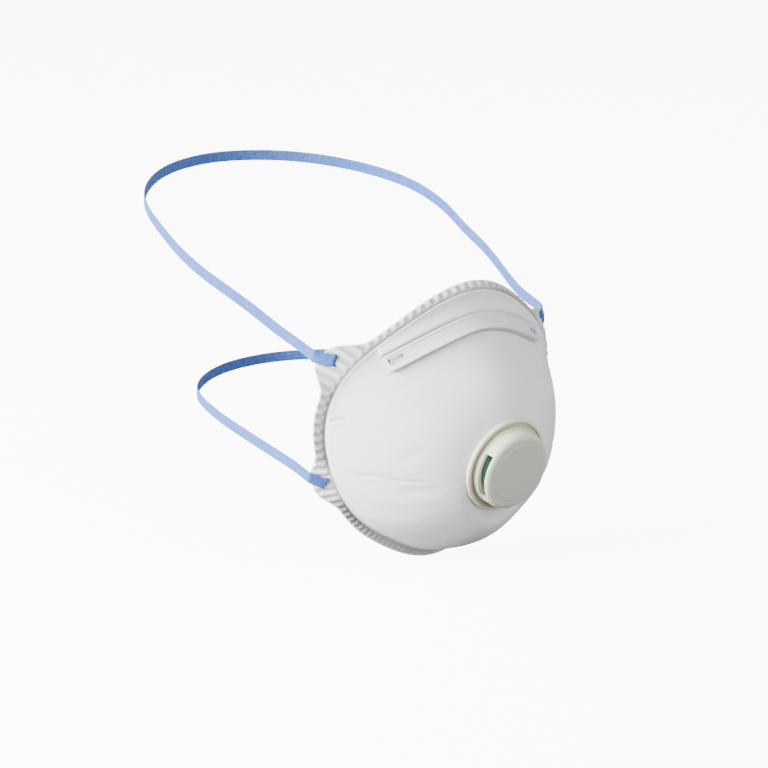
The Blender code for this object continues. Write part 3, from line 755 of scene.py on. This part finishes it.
def ledge_relief(points):
    """The cup's ledge above the nose clip and the grooves along the clip, with painted shade lines along
    the clip's edges.
    """
    line, side, _ = clip_line(CLIP_REACH, CLIP_STATIONS)
    relief, pressed = np.zeros((2, len(points)))
    beside = np.abs(points[:, 0]) < CLIP_REACH + LEDGE_MARGIN
    near = np.flatnonzero((points[:, 2] > LEDGE_FROM) & beside)
    gap = points[near, None, :] - line[None]
    nearest = np.argmin(np.einsum("ijk,ijk->ij", gap, gap), axis=1)
    offset = gap[np.arange(len(near)), nearest]
    above = -along_rows(offset, side[nearest]) - CLIP_WIDTH / 2
    along = along_rows(offset, unit(np.gradient(line, axis=0))[nearest])
    past_end = np.where((nearest == 0) | (nearest == CLIP_STATIONS - 1), np.abs(along), 0.0)
    share = np.abs(nearest / (CLIP_STATIONS - 1) * 2 - 1)
    height = LEDGE_HEIGHT * (0.4 + 0.6 * smooth(share / 0.75))
    rise = beyond(above, 0.5, 0.55) * (1 - beyond(above, 1.3, 4.5))
    below = -above - CLIP_WIDTH
    groove = CLIP_GROOVE * bell(above, 0.2, 0.4)
    under = CLIP_UNDERCUT * bell(below, 0.2, 0.42)
    ends = 1 - beyond(past_end, 0.2, 0.9)
    relief[near] = (height * rise - groove - under) * ends
    # Painted shade: grey lines along the clip's upper and lower edges, where its shadow falls.
    pressed[near] = np.maximum(0.8 * bell(above, 0.35, 0.4), bell(below, 0.45, 0.5)) * ends
    return relief, pressed


def wave_relief(points):
    """Slow unevenness of a formed shell."""
    shift = Vector((3.1, 0.4, 1.7))
    return np.array([noise.noise(Vector(point) / WAVE_SIZE + shift) for point in points]) * WAVE_HEIGHT


def make_cup():
    """The moulded cup: a fine outer face with its folds, and a plain inner wall."""
    turn = around(CUP_COLUMNS)
    angle = turn - NOSE_DENSITY * np.sin(turn)
    share, plain, outward = cup_rings(angle, CUP_ROWS, 1.0)
    points = plain.reshape(-1, 3)
    to_foot = ((1 - share) * rim_radius(angle)).ravel()
    off_axis = np.hypot(points[:, 0], points[:, 2] - VALVE_Z)
    middle = beyond(off_axis - SEAT_RADIUS, 0.0, 6.0) * beyond(to_foot, 0.0, 1.6)
    creases, grey = crease_relief(points[:, 0], points[:, 2])
    relief = (creases + wave_relief(points)) * middle
    ledge, clip_shade_lines = ledge_relief(points)
    relief += ledge * beyond(to_foot, 0.0, 1.5)
    relief += FOOT_BEAD * bell(to_foot, 0.7, 0.45)
    outer = plain + outward * relief.reshape(share.shape)[..., None]
    inner = (plain - CUP_WALL * outward)[::-CUP_INNER_STEP]
    rings = np.concatenate([outer, inner])
    cup = mesh_object("moulded_cup", rings, grid_faces(len(rings), CUP_COLUMNS, True), CUP_WHITE)
    chin = past(angle, 105, 25)
    # Painted highlight along the foot, away from the chin.
    foot = bell(to_foot, 0.0, 0.9).reshape(share.shape) * (1 - chin)
    # Pressed grey band at the chin, joined by painted shade lines along the clip's edges and the creases.
    band = (0.75 + 0.75 * past(angle, 125, 50)) * MM
    pressed = beyond(band - to_foot.reshape(share.shape), 0.0, 0.35) * chin
    pressed = np.maximum(pressed, np.maximum(clip_shade_lines, grey * middle).reshape(share.shape))
    plain_wall = np.zeros(inner.shape[:2])
    store(cup, "foot", np.concatenate([foot, plain_wall]))
    store(cup, "pressed", np.concatenate([pressed, plain_wall]))
    attach(turn_outwards(cup), "outer_shell", "outer_shell")


def rib_tree(name, material):
    """Node tree that presses ribs into the flange along its stored phase."""
    tree = bpy.data.node_groups.new(name, "GeometryNodeTree")
    new_socket = tree.interface.new_socket
    new_socket("Geometry", in_out="INPUT", socket_type="NodeSocketGeometry")
    height = new_socket("Rib Height", in_out="INPUT", socket_type="NodeSocketFloat")
    count = new_socket("Rib Count", in_out="INPUT", socket_type="NodeSocketInt")
    new_socket("Geometry", in_out="OUTPUT", socket_type="NodeSocketGeometry")
    start = add(tree, "GroupInput", family="Node").outputs

    def geometry(kind, sockets=None, **settings):
        return add(tree, kind, sockets, "GeometryNode", **settings).outputs[0]

    angle, share = (geometry("InputNamedAttribute", {"Name": kept}, data_type="FLOAT")
                    for kept in ("rib_angle", "rib_share"))
    wave = maths(tree, "COSINE", maths(tree, "MULTIPLY", angle, start["Rib Count"]))
    limits = {"From Min": -RIB_FLANK, "From Max": RIB_FLANK, "To Min": RIB_SPAN[0], "To Max": RIB_SPAN[1]}
    square = add(tree, "MapRange", {"Value": wave, **limits}, interpolation_type="SMOOTHSTEP").outputs[0]
    lift = maths(tree, "MULTIPLY", maths(tree, "MULTIPLY", square, share), start["Rib Height"])
    scaled = {0: geometry("InputNormal"), "Scale": lift}
    offset = add(tree, "VectorMath", scaled, operation="SCALE").outputs[0]
    pressed = geometry("SetPosition", {"Geometry": start["Geometry"], "Offset": offset})
    real = geometry("RealizeInstances", {"Geometry": pressed})
    painted = geometry("SetMaterial", {"Geometry": real, "Material": material})
    add(tree, "GroupOutput", {"Geometry": painted}, "Node")
    return tree, {"height": height.identifier, "count": count.identifier}


def flange_face(angle, out, width):
    """Points of the flange's front face, tucked under the cup at its foot and rolled at its edge."""
    angle = np.broadcast_to(angle, out.shape)
    tucked = np.clip(-out / FLANGE_TUCK, 0.0, 1.0)
    share = 1.0 + np.minimum(out, 0.0) / rim_radius(angle)
    under = cup_point(angle, share) - TUCK_DEPTH * smooth(tucked)[..., None] * cup_normal(angle, share)
    rolled = smooth((out - width + EDGE_BAND) / EDGE_BAND)
    groove = bell(out, 0.45, 0.5) * (1 - past(angle, *BELOW_CHEEK))
    sunk = EDGE_ROLL * rolled ** 2 + FOOT_GROOVE * groove
    open_face = flange_point(angle, out) - sunk[..., None] * flange_normal(angle, out)
    return np.where((out < 0.0)[..., None], under, open_face)


def flange_white_and_painted_light(angle, out, width, rib):
    """How white the pressed flange is: whiter on the tabs, nose and chin, with painted highlight on rib
    crests and the trimmed edge, and painted shade in the valleys and along the foot; the lower tab's
    near-white is partly painted light.
    """
    upper, lower = tab_share(angle)
    to_nose = 1 - past(angle, 36, 14)
    nose_top = 1 - past(angle, 4, 12)
    chin = past(angle, 115, 30)
    # Painted highlight on the rib crests; the valleys keep the darker painted shade.
    crest = smooth((np.cos(angle * RIB_COUNT) + RIB_FLANK) / (2 * RIB_FLANK)) * rib
    # Levels by region; the lower tab's near-white is partly painted light.
    valley = 0.03 + 0.22 * to_nose + 0.3 * nose_top + 0.4 * upper + 0.97 * lower + 0.6 * chin
    gain = (0.22 + 0.3 * to_nose - 0.2 * nose_top + 0.2 * upper) * (1 - 0.8 * chin)
    # Painted shade along the foot of the cup.
    foot = 1 - beyond(out, 0.7, 0.9)
    # Painted highlight along the trimmed edge.
    edge = beyond(out - width, -0.95, 0.45)
    below = np.clip(lower + past(angle, *BELOW_CHEEK), 0.0, 1.0)
    white = (valley + gain * crest) * (1 - (0.5 - 0.4 * below) * foot)
    return np.clip(white + 0.9 * edge, 0.0, 1.0)


def make_flange():
    """Pressed flange with ribs across it, a trimmed edge, and slits in its four tabs."""
    columns = RIB_COUNT * RIB_COLUMNS
    angle = around(columns)
    width = flange_width(angle)
    step = np.linspace(0.0, 1.0, FLANGE_ROWS)[:, None]
    inner = -FLANGE_TUCK
    out = inner + (width - inner) * (0.5 * step + 0.5 * smooth(step))
    points = flange_face(angle, out, width)
    start = (1.3 - past(angle, *BELOW_CHEEK)) * MM
    full = beyond(out - start, 0.0, 0.9) * (1 - beyond(out - width, -1.1, 0.7))
    rib = full * (1 - 0.8 * past(angle, 118, 30))

    flange = mesh_object("ribbed_flange", points, grid_faces(FLANGE_ROWS, columns), FLANGE_GREY)
    store(flange, "rib_angle", np.broadcast_to(angle, out.shape))
    store(flange, "rib_share", rib)
    store(flange, "white_and_painted_light", flange_white_and_painted_light(angle, out, width, rib))
    tree, inputs = rib_tree("flange_ribs", FLANGE_GREY)
    ribs = flange.modifiers.new("ribs", "NODES")
    ribs.node_group = tree
    ribs[inputs["height"]] = RIB_HEIGHT
    ribs[inputs["count"]] = RIB_COUNT
    freeze(flange)
    add_wall(flange, FLANGE_WALL)
    slits = []
    size = (SLIT_WIDTH, SLIT_LENGTH, SLIT_DEPTH)
    for tab in (UPPER_TAB, LOWER_TAB):
        for side in (-1, 1):
            centre, front, out_way = tab_frame(tab, side)
            slits.append((size, frame_matrix(centre, out_way, np.cross(front, out_way), front)))
    attach(keep_sharp(cut(flange, slits), 60), "outer_shell")


def make_filter():
    """Filter fleece between cup and lining."""
    columns, rows = CUP_COLUMNS // 5, 24
    angle = around(columns)
    _, face, outward = cup_rings(angle, rows, FILTER_EDGE)
    points = face - FILTER_DEPTH * outward
    fleece = mesh_object("filter_fleece", points, grid_faces(rows, columns), FLEECE)
    add_wall(fleece, FILTER_WALL)
    attach(fleece, "filter_layer", "filter_layer")


def make_lining():
    """Soft lining of the cup, turned out over the back of the flange where the layers are welded."""
    columns, rows, lip_rows = CUP_COLUMNS // 2, 56, 8
    angle = around(columns)
    share, face, outward = cup_rings(angle, rows, LINING_EDGE)
    pinch = smooth((share - PINCH_FROM) / PINCH_SPREAD)
    depth = LINING_DEPTH * (1 - pinch) + PINCH_DEPTH * pinch
    inside = face - depth[..., None] * outward
    lip = []
    for step in np.linspace(0.0, 1.0, lip_rows + 1)[1:]:
        out = LIP_START + LINING_LIP * step
        behind = LIP_DEPTH + LIP_WAVE * np.cos(angle * RIB_COUNT / 2) * step
        lip.append(flange_point(angle, out) - behind[:, None] * flange_normal(angle, out))
    points = np.concatenate([inside, np.array(lip)])
    lining = mesh_object("face_lining", points, grid_faces(rows + lip_rows, columns), LINING_WHITE)
    add_wall(lining, LINING_WALL)
    attach(lining, "inner_lining", "inner_lining")


# Nose clip and foam

def sweep(name, points, sides, outwards, section, material):
    """Loft a closed section, given sideways and outwards, along a line."""
    section = np.asarray(section, float)
    if section.ndim == 2:
        section = np.broadcast_to(section, (len(points),) + section.shape)
    rings = points[:, None] + sides[:, None] * section[..., :1] + outwards[:, None] * section[..., 1:]
    count = section.shape[1]
    faces = grid_faces(len(points), count)
    last = (len(points) - 1) * count
    faces.append(tuple(range(count))[::-1])
    faces.append(tuple(range(last, last + count)))
    return turn_outwards(mesh_object(name, rings, faces, material), merge=False)


def clip_section(line, side, outward):
    """Sections of the clip: the back fitted to the cup, a hollow for the core, and a rail on each edge."""
    half, rail = CLIP_WIDTH / 2, CLIP_WIDTH / 2 - RAIL_WIDTH
    back = {across: cup_height(line, side, outward, across, CLIP_FOOT)
            for across in (-half, -CORE_HALF, CORE_HALF, half)}
    upper = back[-half] + CLIP_UPPER
    slope = (back[half] + CLIP_LOWER - upper) / CLIP_WIDTH

    def face(across, sunk=0.0):
        return across, upper + slope * (across + half) - sunk

    outline = [(-half, back[-half]), (-CORE_HALF, back[-CORE_HALF]),
               (-CORE_HALF, back[-CORE_HALF] + CORE_RECESS), (CORE_HALF, back[CORE_HALF] + CORE_RECESS),
               (CORE_HALF, back[CORE_HALF]), (half, back[half]), face(half), face(rail),
               face(rail - RAIL_SLOPE, RAIL_HEIGHT), face(RAIL_SLOPE - rail, RAIL_HEIGHT),
               face(-rail), face(-half)]
    places = [np.stack([np.full(len(line), across), height], axis=1) for across, height in outline]
    return np.stack(places, axis=1)


def make_nose_clip():
    """Moulded strip with a low rail along each edge and a window near each end."""
    line, side, outward = clip_line(CLIP_REACH, CLIP_STATIONS)
    clip = sweep("nose_clip", line, side, outward, clip_section(line, side, outward), CLIP_CREAM)
    windows = []
    for end, way in ((0, 1.0), (-1, -1.0)):
        along = np.cross(outward[end], side[end]) * way
        centre = line[end] + along * (WINDOW_INSET + WINDOW_LENGTH / 2) + outward[end] * CLIP_UPPER
        size = (WINDOW_LENGTH, WINDOW_WIDTH, 4 * CLIP_LOWER)
        windows.append((size, frame_matrix(centre, along, side[end], np.cross(along, side[end]))))
    round_edges(cut(clip, windows), CLIP_ROUNDING)
    attach(clip, "nose_clip_strip", "nose_clip_strip")
    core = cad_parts["nose_clip_core"]
    core.data.materials.clear()
    core.data.materials.append(ALUMINIUM)


def make_foam():
    """Sealing foam inside the nose bridge: a soft crowned strip with rounded ends, fitted to the lining."""
    stations, points = 81, 28
    line, side, outward = clip_line(FOAM_REACH, stations)
    half = FOAM_WIDTH / 2
    upper, middle, lower = (cup_height(line, side, outward, across, -FOAM_DEPTH)
                            for across in (-half, 0.0, half))
    turn = around(points)
    lie = np.linspace(-1.0, 1.0, stations)
    narrow = np.clip(1.0 - np.abs(lie) ** 14, 0.02, 1.0) ** 0.5
    share = narrow[:, None] * np.sign(np.cos(turn)) * np.abs(np.cos(turn)) ** 0.55
    slope, hollow = (lower - upper) / 2, (upper + lower) / 2 - middle
    front = middle[:, None] + slope[:, None] * share + hollow[:, None] * share ** 2
    swell = (np.sign(np.sin(turn)) * np.abs(np.sin(turn)) ** 0.6 - 1.0) * FOAM_THICKNESS / 2
    section = np.stack([share * half, front + swell], axis=-1)
    pad = sweep("nose_foam", line, side, outward, section, FOAM_GREY)
    attach(pad, "nose_foam_pad", "nose_foam_pad")


# Exhalation valve

def soft_profile(corners, steps=6):
    """A closed profile of radius, height and rounding, with its corners rounded."""
    points = []
    for k, (radius, height, rounding) in enumerate(corners):
        here = np.array((radius, height))
        before = np.array(corners[k - 1][:2]) - here
        after = np.array(corners[(k + 1) % len(corners)][:2]) - here
        if rounding == 0.0:
            points.append(here)
            continue
        start, end = here + unit(before) * rounding, here + unit(after) * rounding
        for share in np.linspace(0.0, 1.0, steps):
            points.append(corner_point(start, here, end, share))
    return np.array(points) * MM


def valve_axes():
    """Directions across, up and out along the valve axis."""
    across = np.array((1.0, 0.0, 0.0))
    up = np.array((0.0, -math.sin(VALVE_TILT), math.cos(VALVE_TILT)))
    return across, up, np.cross(across, up)


def valve_point(x, y, height):
    """A place in the valve's own frame, as a place on the mask."""
    across, up, axis = valve_axes()
    x, y, height = (np.asarray(value, float)[..., None] for value in (x, y, height))
    return np.array((0.0, VALVE_Y, VALVE_Z)) + across * x + up * y + axis * height


def turned(name, corners, material):
    """A ring or disc turned about the valve axis."""
    profile = soft_profile(corners)
    profile[:, 0] = np.maximum(profile[:, 0], 0.0)
    turn = around(TURN_STEPS)
    rings = valve_point(profile[:, :1] * np.cos(turn), profile[:, :1] * np.sin(turn),
                        np.broadcast_to(profile[:, 1:], (len(profile), TURN_STEPS)))
    item = mesh_object(name, rings, grid_faces(len(profile), TURN_STEPS, True), material)
    return keep_sharp(turn_outwards(item), 40)


def valve_box(centre, size):
    """A box in the valve's own frame."""
    return size, frame_matrix(valve_point(*centre), *valve_axes())


def valve_place(item):
    """Places of a piece's points in the valve's own frame."""
    place = np.empty(len(item.data.vertices) * 3)
    item.data.vertices.foreach_get("co", place)
    off_axis = place.reshape(-1, 3) - (0.0, VALVE_Y, VALVE_Z)
    return [off_axis @ way for way in valve_axes()]


def make_seat():
    """Seat ring with its bead, lip, catch and cross web, and the post that holds the disc."""
    seat = turned("valve_seat_ring", [
        (19.1, 2.3, 0.3), (20.25, 2.3, 0.7), (20.25, 0.3, 0.0), (13.1, 0.3, 0.0), (13.1, -4.9, 0.2),
        (12.1, -4.9, 0.2), (12.1, 1.9, 0.1), (12.35, 2.2, 0.1), (13.1, 2.2, 0.1), (13.35, 1.3, 0.1),
        (14.8, 1.3, 0.0), (14.8, 3.6, 0.1), (15.5, 3.6, 0.1), (15.5, 1.3, 0.0), (18.8, 1.3, 0.3),
    ], SEAT_CREAM)
    for across, up in ((WEB_LENGTH, WEB_WIDTH), (WEB_WIDTH, WEB_LENGTH)):
        cut(seat, [valve_box((0.0, 0.0, WEB_LEVEL), (across, up, WEB_HEIGHT))], "UNION")
    keep_sharp(seat, 40)
    x, y, height = valve_place(seat)
    off_axis = np.hypot(x, y)
    in_groove = (off_axis > 15 * MM) * (off_axis < 19.3 * MM)
    # Painted shade: darker olive in the groove between the bead and the lip.
    store(seat, "painted_light", beyond(-height, -2.2, 0.7) * in_groove)
    attach(seat, "valve_seat", "valve_seat")
    post = turned("valve_seat_post", [
        (0.0, 6.0, 0.0), (1.5, 6.0, 0.3), (1.5, 1.8, 0.3), (3.0, 1.8, 0.3), (3.0, 0.2, 0.2),
        (0.0, 0.2, 0.0),
    ], CREAM)
    attach(post, "valve_seat")


def make_cover():
    """Slotted cover: a cap with a rounded shoulder, a raised face and an open slot on either side."""
    cover = turned("valve_cap", [
        (0.0, 9.6, 0.0), (12.4, 9.6, 0.15), (12.7, 9.4, 0.15), (16.9, 9.4, 3.0), (16.9, 3.1, 0.3),
        (17.3, 2.8, 0.3), (17.3, 1.8, 0.1), (15.8, 1.8, 0.1), (15.8, 8.2, 0.4), (3.4, 8.2, 0.3),
        (3.4, 4.6, 0.2), (2.1, 4.6, 0.2), (2.1, 8.2, 0.0), (0.0, 8.2, 0.0),
    ], COVER_CREAM)
    slots = []
    deep = VALVE_SLOT["outer"] - VALVE_SLOT["inner"]
    tall = VALVE_SLOT["high"] - VALVE_SLOT["low"]
    for side in (-1, 1):
        centre = (side * (VALVE_SLOT["inner"] + deep / 2), 0.0, VALVE_SLOT["low"] + tall / 2)
        slots.append(valve_box(centre, (deep, 2 * VALVE_SLOT["half"], tall)))
    round_edges(cut(cover, slots), COVER_ROUNDING, 50)
    x, y, height = valve_place(cover)
    by_slot = beyond(VALVE_SLOT["half"] - np.abs(y), -0.6, 2.0) * beyond(np.abs(x), 11.0, 2.0)
    over_slot = beyond(height, 7.0, 1.0) * (1 - beyond(height, 9.0, 0.4))
    # Painted reflection: a bright mint colour from the green disc on the cap's edge beside each slot.
    store(cover, "painted_light", by_slot * over_slot)
    # Painted shade: the cap's flat face darker and greyer than its shoulder.
    inside = 1 - beyond(np.hypot(x, y), 13.2, 2.0)
    store(cover, "plate_shade", inside * beyond(height, 8.9, 0.3))
    attach(cover, "valve_cover", "valve_cover")


def make_valve():
    """Seat, disc, slotted cover and clamp ring."""
    make_seat()
    disc = turned("valve_flap", [
        (1.9, 3.1, 0.1), (13.1, 3.1, 0.2), (13.4, 2.8, 0.1), (13.4, 2.5, 0.1), (1.9, 2.5, 0.1),
    ], GREEN)
    attach(disc, "valve_disc", "valve_disc", body="exhale_disc")
    make_cover()
    clamp = turned("valve_clamp", [
        (13.4, -3.66, 0.1), (18.4, -3.66, 0.2), (18.4, -4.4, 0.4), (17.6, -4.86, 0.4), (13.4, -4.86, 0.3),
    ], CREAM)
    attach(clamp, "valve_clamp_ring", "valve_clamp_ring")


# Elastic strap

def rounded_line(corners, facings, bends, steps=9):
    """A line through corners with rounded bends, and the direction that a band on it faces."""
    points, faces = [corners[0]], [facings[0]]
    for k, bend in enumerate(bends, start=1):
        before = unit(corners[k] - corners[k - 1])
        after = unit(corners[k + 1] - corners[k])
        turn = math.acos(float(np.clip(before @ after, -1.0, 1.0)))
        length = bend * math.tan(turn / 2)
        start, end = corners[k] - before * length, corners[k] + after * length
        for share in np.linspace(0.0, 1.0, steps):
            points.append(corner_point(start, corners[k], end, share))
            faces.append((1 - share) * facings[k - 1] + share * facings[k])
    return np.array(points + [corners[-1]]), np.array(faces + [facings[-1]])


def smooth_route(points):
    """Even steps along a smooth curve through the points, level where it meets its mirror image."""
    ends = np.concatenate([[2 * points[0] - points[1]], points, [points[-2] * MIRROR]])
    curve = []
    for a, b, c, d in zip(ends, ends[1:], ends[2:], ends[3:]):
        for t in np.linspace(0.0, 1.0, 24, endpoint=False):
            curve.append(0.5 * (2 * b + (c - a) * t + (2 * a - 5 * b + 4 * c - d) * t ** 2
                                + (3 * b - a - 3 * c + d) * t ** 3))
    curve = np.array(curve + [points[-1]])
    travel = travelled(curve)
    even = np.linspace(0.0, travel[-1], round(travel[-1] / STRAP_STEP) + 1)
    return np.stack([np.interp(even, travel, curve[:, k]) for k in range(3)], axis=1)


def relaxed(values, passes):
    """Ease a row of points or directions towards its neighbours, with the ends kept."""
    values = values.copy()
    for _ in range(passes):
        values[1:-1] += 0.5 * ((values[:-2] + values[2:]) / 2 - values[1:-1])
    return values


def band_section():
    """Flat section with round edges and fine cords along it, with each point's share across."""
    share = np.linspace(-1.0, 1.0, 4 * WALE_COUNT + 1)
    half = STRAP_THICKNESS / 2
    height = half * (1.0 - np.abs(share) ** 10) ** 0.5
    wales = WALE_HEIGHT * np.cos(math.pi * WALE_COUNT * (share + 1.0)) * (1 - share ** 8)
    upper = np.stack([share * STRAP_WIDTH / 2, height + wales], axis=1)
    lower = np.stack([share * STRAP_WIDTH / 2, -height - wales], axis=1)[1:-1][::-1]
    across = (np.concatenate([share, share[1:-1][::-1]]) + 1.0) / 2
    return np.concatenate([upper, lower]), across


def make_band(name, points, facings):
    """A knitted band along a line, facing given ways, with a map along and across it."""
    along = unit(np.gradient(points, axis=0))
    side = unit(np.cross(facings, along))
    section, across = band_section()
    band = sweep(name, points, side, np.cross(along, side), section, BLUE_ELASTIC)
    travel = np.repeat(travelled(points) / MM, len(section))
    place = np.stack([travel, np.tile(across, len(points))], axis=1)
    corner = np.empty(len(band.data.loops), dtype=np.int32)
    band.data.loops.foreach_get("vertex_index", corner)
    layer = band.data.uv_layers.new(name="UVMap")
    layer.data.foreach_set("uv", place[corner].astype(np.float32).ravel())
    return band


def strap_line(tab, route):
    """Line of a free stretch of the strap: out of one slit, over the tab, and round to the other."""
    centre, front, out = tab_frame(tab, -1)
    half = np.array(route) * MM * MIRROR
    surface = centre + front * STRAP_LEVEL
    edge = surface + out * (half[0, 0] - surface[0]) / out[0]
    outside = np.array((-1.0, 0.0, 0.0))
    corners = [centre - front * 0.5 * MM, surface, edge, half[0]]
    tab_points, tab_facings = rounded_line(corners, [-out, front, outside], [SLIT_BEND, tab["bend"]])
    free = smooth_route(half)
    along = np.gradient(free, axis=0)
    facing = unit(np.stack([-along[:, 1], along[:, 0], np.zeros(len(free))], axis=1))
    points = np.concatenate([tab_points[:-1], free])
    facings = unit(np.concatenate([tab_facings[:-1], facing]))
    points = np.concatenate([points, points[-2::-1] * MIRROR])
    facings = np.concatenate([facings, facings[-2::-1] * MIRROR])
    eased = len(tab_points) - 6
    loop = slice(eased, len(points) - eased)
    points[loop] = relaxed(points[loop], EASE_PASSES)
    facings[loop] = unit(relaxed(facings[loop], EASE_PASSES))
    return points, facings


def run_line(side):
    """Line of the fixed stretch behind the flange, from the upper slit down to the lower one."""
    flat, steep = math.cos(INSIDE_LEAN), math.sin(INSIDE_LEAN)
    legs = []
    for tab in (UPPER_TAB, LOWER_TAB):
        centre, front, out = tab_frame(tab, side)
        through = centre - front * STRAP_BEHIND
        inner = through - (out * flat + front * steep) * tab["inside"]
        legs.append(([centre - front * 0.4 * MM, through, inner], [-out, front * flat - out * steep]))
    (upper, upper_faces), (lower, lower_faces) = legs
    inside = unit(upper_faces[-1] + lower_faces[-1])
    bends = [SLIT_BEND, INSIDE_BEND, INSIDE_BEND, SLIT_BEND]
    return rounded_line(upper + lower[::-1], upper_faces + [inside] + lower_faces[::-1], bends, 13)


def make_straps():
    """The elastic: two fixed runs behind the tabs and two free stretches."""
    for name, side in (("strap_run_right", -1), ("strap_run_left", 1)):
        run = make_band("elastic_run" + name[9:], *run_line(side))
        attach(run, "elastic", name)
    for name, tab, route, body, before, after in (
            ("upper_strap", UPPER_TAB, UPPER_ROUTE, "upper_head_strap", 5.0, 6.5),
            ("lower_strap", LOWER_TAB, LOWER_ROUTE, "lower_neck_strap", 4.2, 6.5)):
        points, facings = strap_line(tab, route)
        strap = make_band("elastic_" + name, points, facings)
        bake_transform(strap)
        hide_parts(name)


# Stage, light and camera

def studio_surface(name):
    """Plain pale studio paper, lit through from below like a light table."""
    material, tree = new_material(name, 0.9, Emission_Strength=PAPER_GLOW,
                                  Emission_Color=(1.0, 1.0, 1.0, 1.0))
    cloud = object_noise(tree, 6, 2.0)
    tone = colour_ramp(tree, cloud, [(0.3, (0.86, 0.86, 0.86)), (0.7, (0.88, 0.88, 0.88))])
    drive(tree, "Base Color", tone)
    material.cycles.emission_sampling = "NONE"
    return material


def make_stage():
    """A pale floor that throws no light back on the mask."""
    floor = cad_box[0][2] - FLOOR_GAP
    corners = [(x * FLOOR_REACH, y * FLOOR_REACH, floor) for x, y in ((-1, -1), (1, -1), (1, 1), (-1, 1))]
    item = mesh_object("studio_floor", corners, [(0, 1, 2, 3)], studio_surface("studio_paper"))
    item.visible_diffuse = False
    item.visible_glossy = False


def area_light(name, place, power, colour=(1.0, 1.0, 1.0)):
    """A soft square light aimed at the mask."""
    lamp = bpy.data.lights.new(name, "AREA")
    lamp.size = LIGHT_SIZE
    lamp.energy = power
    lamp.color = colour
    item = new_object(name, lamp)
    item.location = place
    item.rotation_euler = Vector(place).to_track_quat("Z", "Y").to_euler()


def make_light():
    """Soft key from the camera's left, a weak front fill, and a pale surround."""
    area_light("key", KEY_PLACE, KEY_POWER)
    area_light("fill", FILL_PLACE, FILL_POWER, (0.97, 0.98, 1.0))
    world = bpy.data.worlds.new("pale_surround")
    world.use_nodes = True
    tree = world.node_tree
    way = add(tree, "SeparateXYZ", {0: add(tree, "TexCoord").outputs["Generated"]}).outputs[2]
    level = add(tree, "MapRange", {"Value": way, "From Min": -1.0, "From Max": 1.0,
                                   "To Min": SKY_BELOW, "To Max": SKY_ABOVE})
    sky = tree.nodes["Background"]
    sky.inputs["Color"].default_value = (1.0, 1.0, 1.0, 1.0)
    tree.links.new(level.outputs[0], sky.inputs["Strength"])
    bpy.context.scene.world = world


def make_camera():
    """Camera at the photograph's place."""
    lens = bpy.data.cameras.new("photo_view")
    lens.lens = PHOTO_LENS
    lens.sensor_width = 36.0
    lens.clip_start = 0.05
    lens.clip_end = 100.0
    level = math.cos(PHOTO_ELEVATION)
    back = Vector((math.sin(PHOTO_AZIMUTH) * level, -math.cos(PHOTO_AZIMUTH) * level,
                   math.sin(PHOTO_ELEVATION)))
    item = new_object("photo_view", lens)
    item.location = Vector(PHOTO_FOCUS) + back * PHOTO_DISTANCE
    item.rotation_euler = back.to_track_quat("Z", "Y").to_euler()
    bpy.context.scene.camera = item


make_camera()
make_straps()
make_cup()
make_flange()
make_filter()
make_lining()
make_nose_clip()
make_foam()
make_valve()
make_stage()
make_light()
